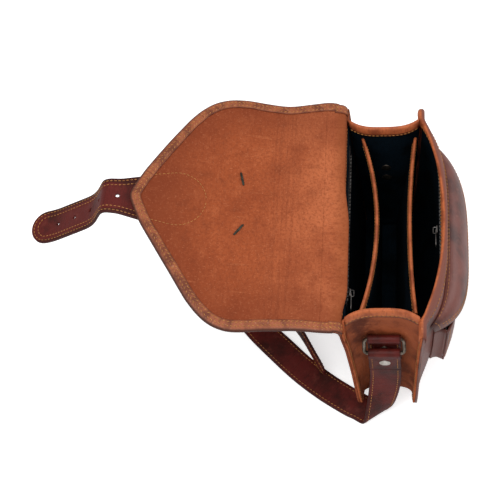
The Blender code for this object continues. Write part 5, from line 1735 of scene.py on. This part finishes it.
over = buckle_bar + gap + prong_radius
prong("strap_prong", arc_points((0, 0), over, 100, 270, 12) + [Vector((0.026, -over))], at_strap_buckle,
      "bag", "strap_buckle_prong")
print("strap buckle made")

# %% [markdown]
# ## The front buckle
# The buckle for the closure sits low on the front wall. Its chape is riveted on, and a keeper loop below it
# takes the strap's end.

# %% Front buckle
chape_height = 0.020
chape_width = 0.038
bar_up = 0.011
keeper_thick = 0.0016
above_foot, below_foot = [Vector((0, front_face(0, z), z))
                          for z in (chape_height + 0.001, chape_height - 0.001)]
wall_up = (above_foot - below_foot).normalized()
wall_out = Vector((0, -wall_up.z, wall_up.y))
foot = (above_foot + below_foot) / 2


def on_wall(across, rise, away):
    return foot + Vector((across, 0, 0)) + wall_up * rise + wall_out * away


chape_back = gap + chape_thick / 2
bar_out = chape_back + loop
chape_front = chape_back + chape_thick + gap
path = hairpin(-0.013, bar_up - loop * 3.2, (bar_out, bar_up), loop, chape_back, chape_front)
leather_loop("chape_hide", path, lambda a, b, c: on_wall(c, b, a), chape_width, chape_thick, "bag",
             "buckle_chape")
rivet_out = chape_front + chape_thick / 2
profile = dome(rivet_out, height=0.0012, radius=0.0040)
profile += [(rivet_out, rivet_shank), (0.0, rivet_shank), (0.0, tip)]
rivet = turned("chape_rivet", on_wall(0, -0.00325, 0), wall_out, profile, bright_metal)
attach(rivet, "bag", "rivet_metal", "buckle_rivet")
axis = on_wall(0, bar_up, bar_out)
bars = bar_loop("buckle_bars", axis, Vector((1, 0, 0)), wall_up, aged_metal, half=0.0205 + buckle_bar, low=0.0,
                high=0.022, corner_size=buckle_corner, radius=buckle_bar)
attach(bars, "buckle", "aged_metal", "buckle_frame")
path = [Vector((b, a)) for a, b in arc_points((0, 0), over, 200, 360, 12)]
path += [Vector((0.011, over + 0.0006)), Vector((0.024, over))]
prong("front_prong", path, lambda a, b, c: axis + wall_up * a + wall_out * b + Vector((c, 0, 0)), "prong",
      "buckle_prong")
keep_in = chape_width / 2 + gap * 2 + keeper_thick / 2
top = rivet_out + 0.003 + keeper_thick / 2
low = gap + keeper_thick / 2
path = [Vector(at) for at in ((-keep_in - 0.005, low), (-keep_in, low), (-keep_in, top), (keep_in, top),
                              (keep_in, low), (keep_in + 0.005, low))]
leather_loop("keeper_hide", path, lambda a, b, c: on_wall(a, -0.006 + c, b), 0.008, keeper_thick, "bag",
             "buckle_keeper")
print("front buckle at", [round(value, 4) for value in axis])

# %% [markdown]
# Each zip's slider rides on its chain, with a small bridge that holds the pull: a bar bent to a long D, on
# a neck.

# %% Zip sliders and pulls


def squared(value, half):
    """A circle's cosine or sine, squared up towards a rounded rectangle."""
    return half * math.copysign(abs(value) ** 0.6, value)


plate = [(squared(math.cos(turn), 0.0049), squared(math.sin(turn), 0.0040))
         for turn in between(0, math.tau, 24)[:-1]]
up, ahead = Vector((0, 0, 1)), Vector((-1, 0, 0))
for side, sign, pin in (("back", 1, Vector((-0.078, 0.03196, zip_height))),
                        ("front", -1, Vector((-0.006, -0.05317, zip_height)))):
    slider = cut(side + "_slider_plate", plate, (0.004, 0.004),
                 lambda a, b: pin + Vector((a, sign * 0.0012, b)), 0.0018, [zip_metal], soften=0.0005)
    attach(slider, side + "_slider", "aged_metal", side + "_zip_slider")
    bridge = bar_loop(side + "_slider_bridge", pin, Vector((1, 0, 0)), Vector((0, -sign, 0)), zip_metal,
                      half=0.0036, low=-0.0012, high=0.0026, corner_size=0.0012, radius=0.0006, spacing=0.0006)
    attach(bridge, side + "_slider", "aged_metal")
    pull = bar_loop(side + "_pull_ring", pin, up, ahead, zip_metal, half=0.0030, low=0.0052, high=0.0190,
                    corner_size=0.0027, radius=0.0007, spacing=0.0006)
    neck = bar_loop(side + "_pull_neck", pin, up, ahead, zip_metal, half=0.0015, low=-0.0002, high=0.0056,
                    corner_size=0.0007, radius=0.0005, spacing=0.0005)
    attach(pull, side + "_pull", "aged_metal", side + "_zip_pull")
    attach(neck, side + "_pull", "aged_metal")
print("sliders on their chains")

# %% [markdown]
# ## Floor and light
# The bag stands on a plain pale floor in front of white. The camera sees the floor as white, and what
# little shadow it keeps. A wide soft lamp overhead gives most of the light; a weaker one lights the front.

# %% Stage


def white_floor():
    finish = Finish("white floor", 1.0)
    rays = finish.nodes.new("ShaderNodeLightPath")
    seen = Wire(finish, rays.outputs["Is Camera Ray"])
    glow = finish.node("ShaderNodeEmission", {}, {"Color": (1.0, 1.0, 1.0), "Strength": 0.62})
    matt = finish.node("ShaderNodeBsdfDiffuse", {}, {"Color": (0.80, 0.80, 0.80)})
    both = finish.node("ShaderNodeAddShader", {}, {0: glow, 1: matt})
    mixed = finish.node("ShaderNodeMixShader", {}, {0: seen, 1: matt, 2: both})
    finish.links.new(mixed.socket, finish.nodes["Material Output"].inputs["Surface"])
    return finish.material


floor_sheet = bmesh.new()
bmesh.ops.create_grid(floor_sheet, x_segments=1, y_segments=1, size=3)
bmesh.ops.translate(floor_sheet, verts=floor_sheet.verts, vec=(0, 0, -0.0006))
floor = keep("floor", floor_sheet, [white_floor()], smooth=False)
floor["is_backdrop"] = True

world = bpy.data.worlds.new("white room")
world.use_nodes = True
bpy.context.scene.world = world
room, joined = world.node_tree.nodes, world.node_tree.links
either = room.new("ShaderNodeMixShader")
joined.new(room.new("ShaderNodeLightPath").outputs["Is Camera Ray"], either.inputs[0])
for socket, white, strength in ((1, room["Background"], 0.55), (2, room.new("ShaderNodeBackground"), 1.0)):
    white.inputs["Color"].default_value = (1, 1, 1, 1)
    white.inputs["Strength"].default_value = strength
    joined.new(white.outputs[0], either.inputs[socket])
joined.new(either.outputs[0], room["World Output"].inputs["Surface"])


def soft_lamp(name, place, power, width):
    lamp = bpy.data.lights.new(name, "AREA")
    lamp.energy = power
    lamp.size = width
    holder = bpy.data.objects.new(name, lamp)
    holder.location = place
    holder.rotation_euler = (Vector((0, 0, 0.12)) - Vector(place)).to_track_quat("-Z", "Y").to_euler()
    bpy.context.scene.collection.objects.link(holder)
    holder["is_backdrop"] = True


soft_lamp("overhead", (-0.5, 0.3, 2.0), power=22, width=1.3)
soft_lamp("front", (0.5, -1.6, 0.8), power=11, width=1.1)
scene = bpy.context.scene
scene.view_settings.view_transform = "Standard"
scene.view_settings.look = "None"
scene.view_settings.exposure = 0.0
print("stage set")

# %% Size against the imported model
made_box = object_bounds()
size = {"packed": [list(packed_box[0]), list(packed_box[1])], "made": [list(made_box[0]), list(made_box[1])]}
print("packed", [[round(value, 4) for value in corner_at] for corner_at in packed_box])
print("made", [[round(value, 4) for value in corner_at] for corner_at in made_box])
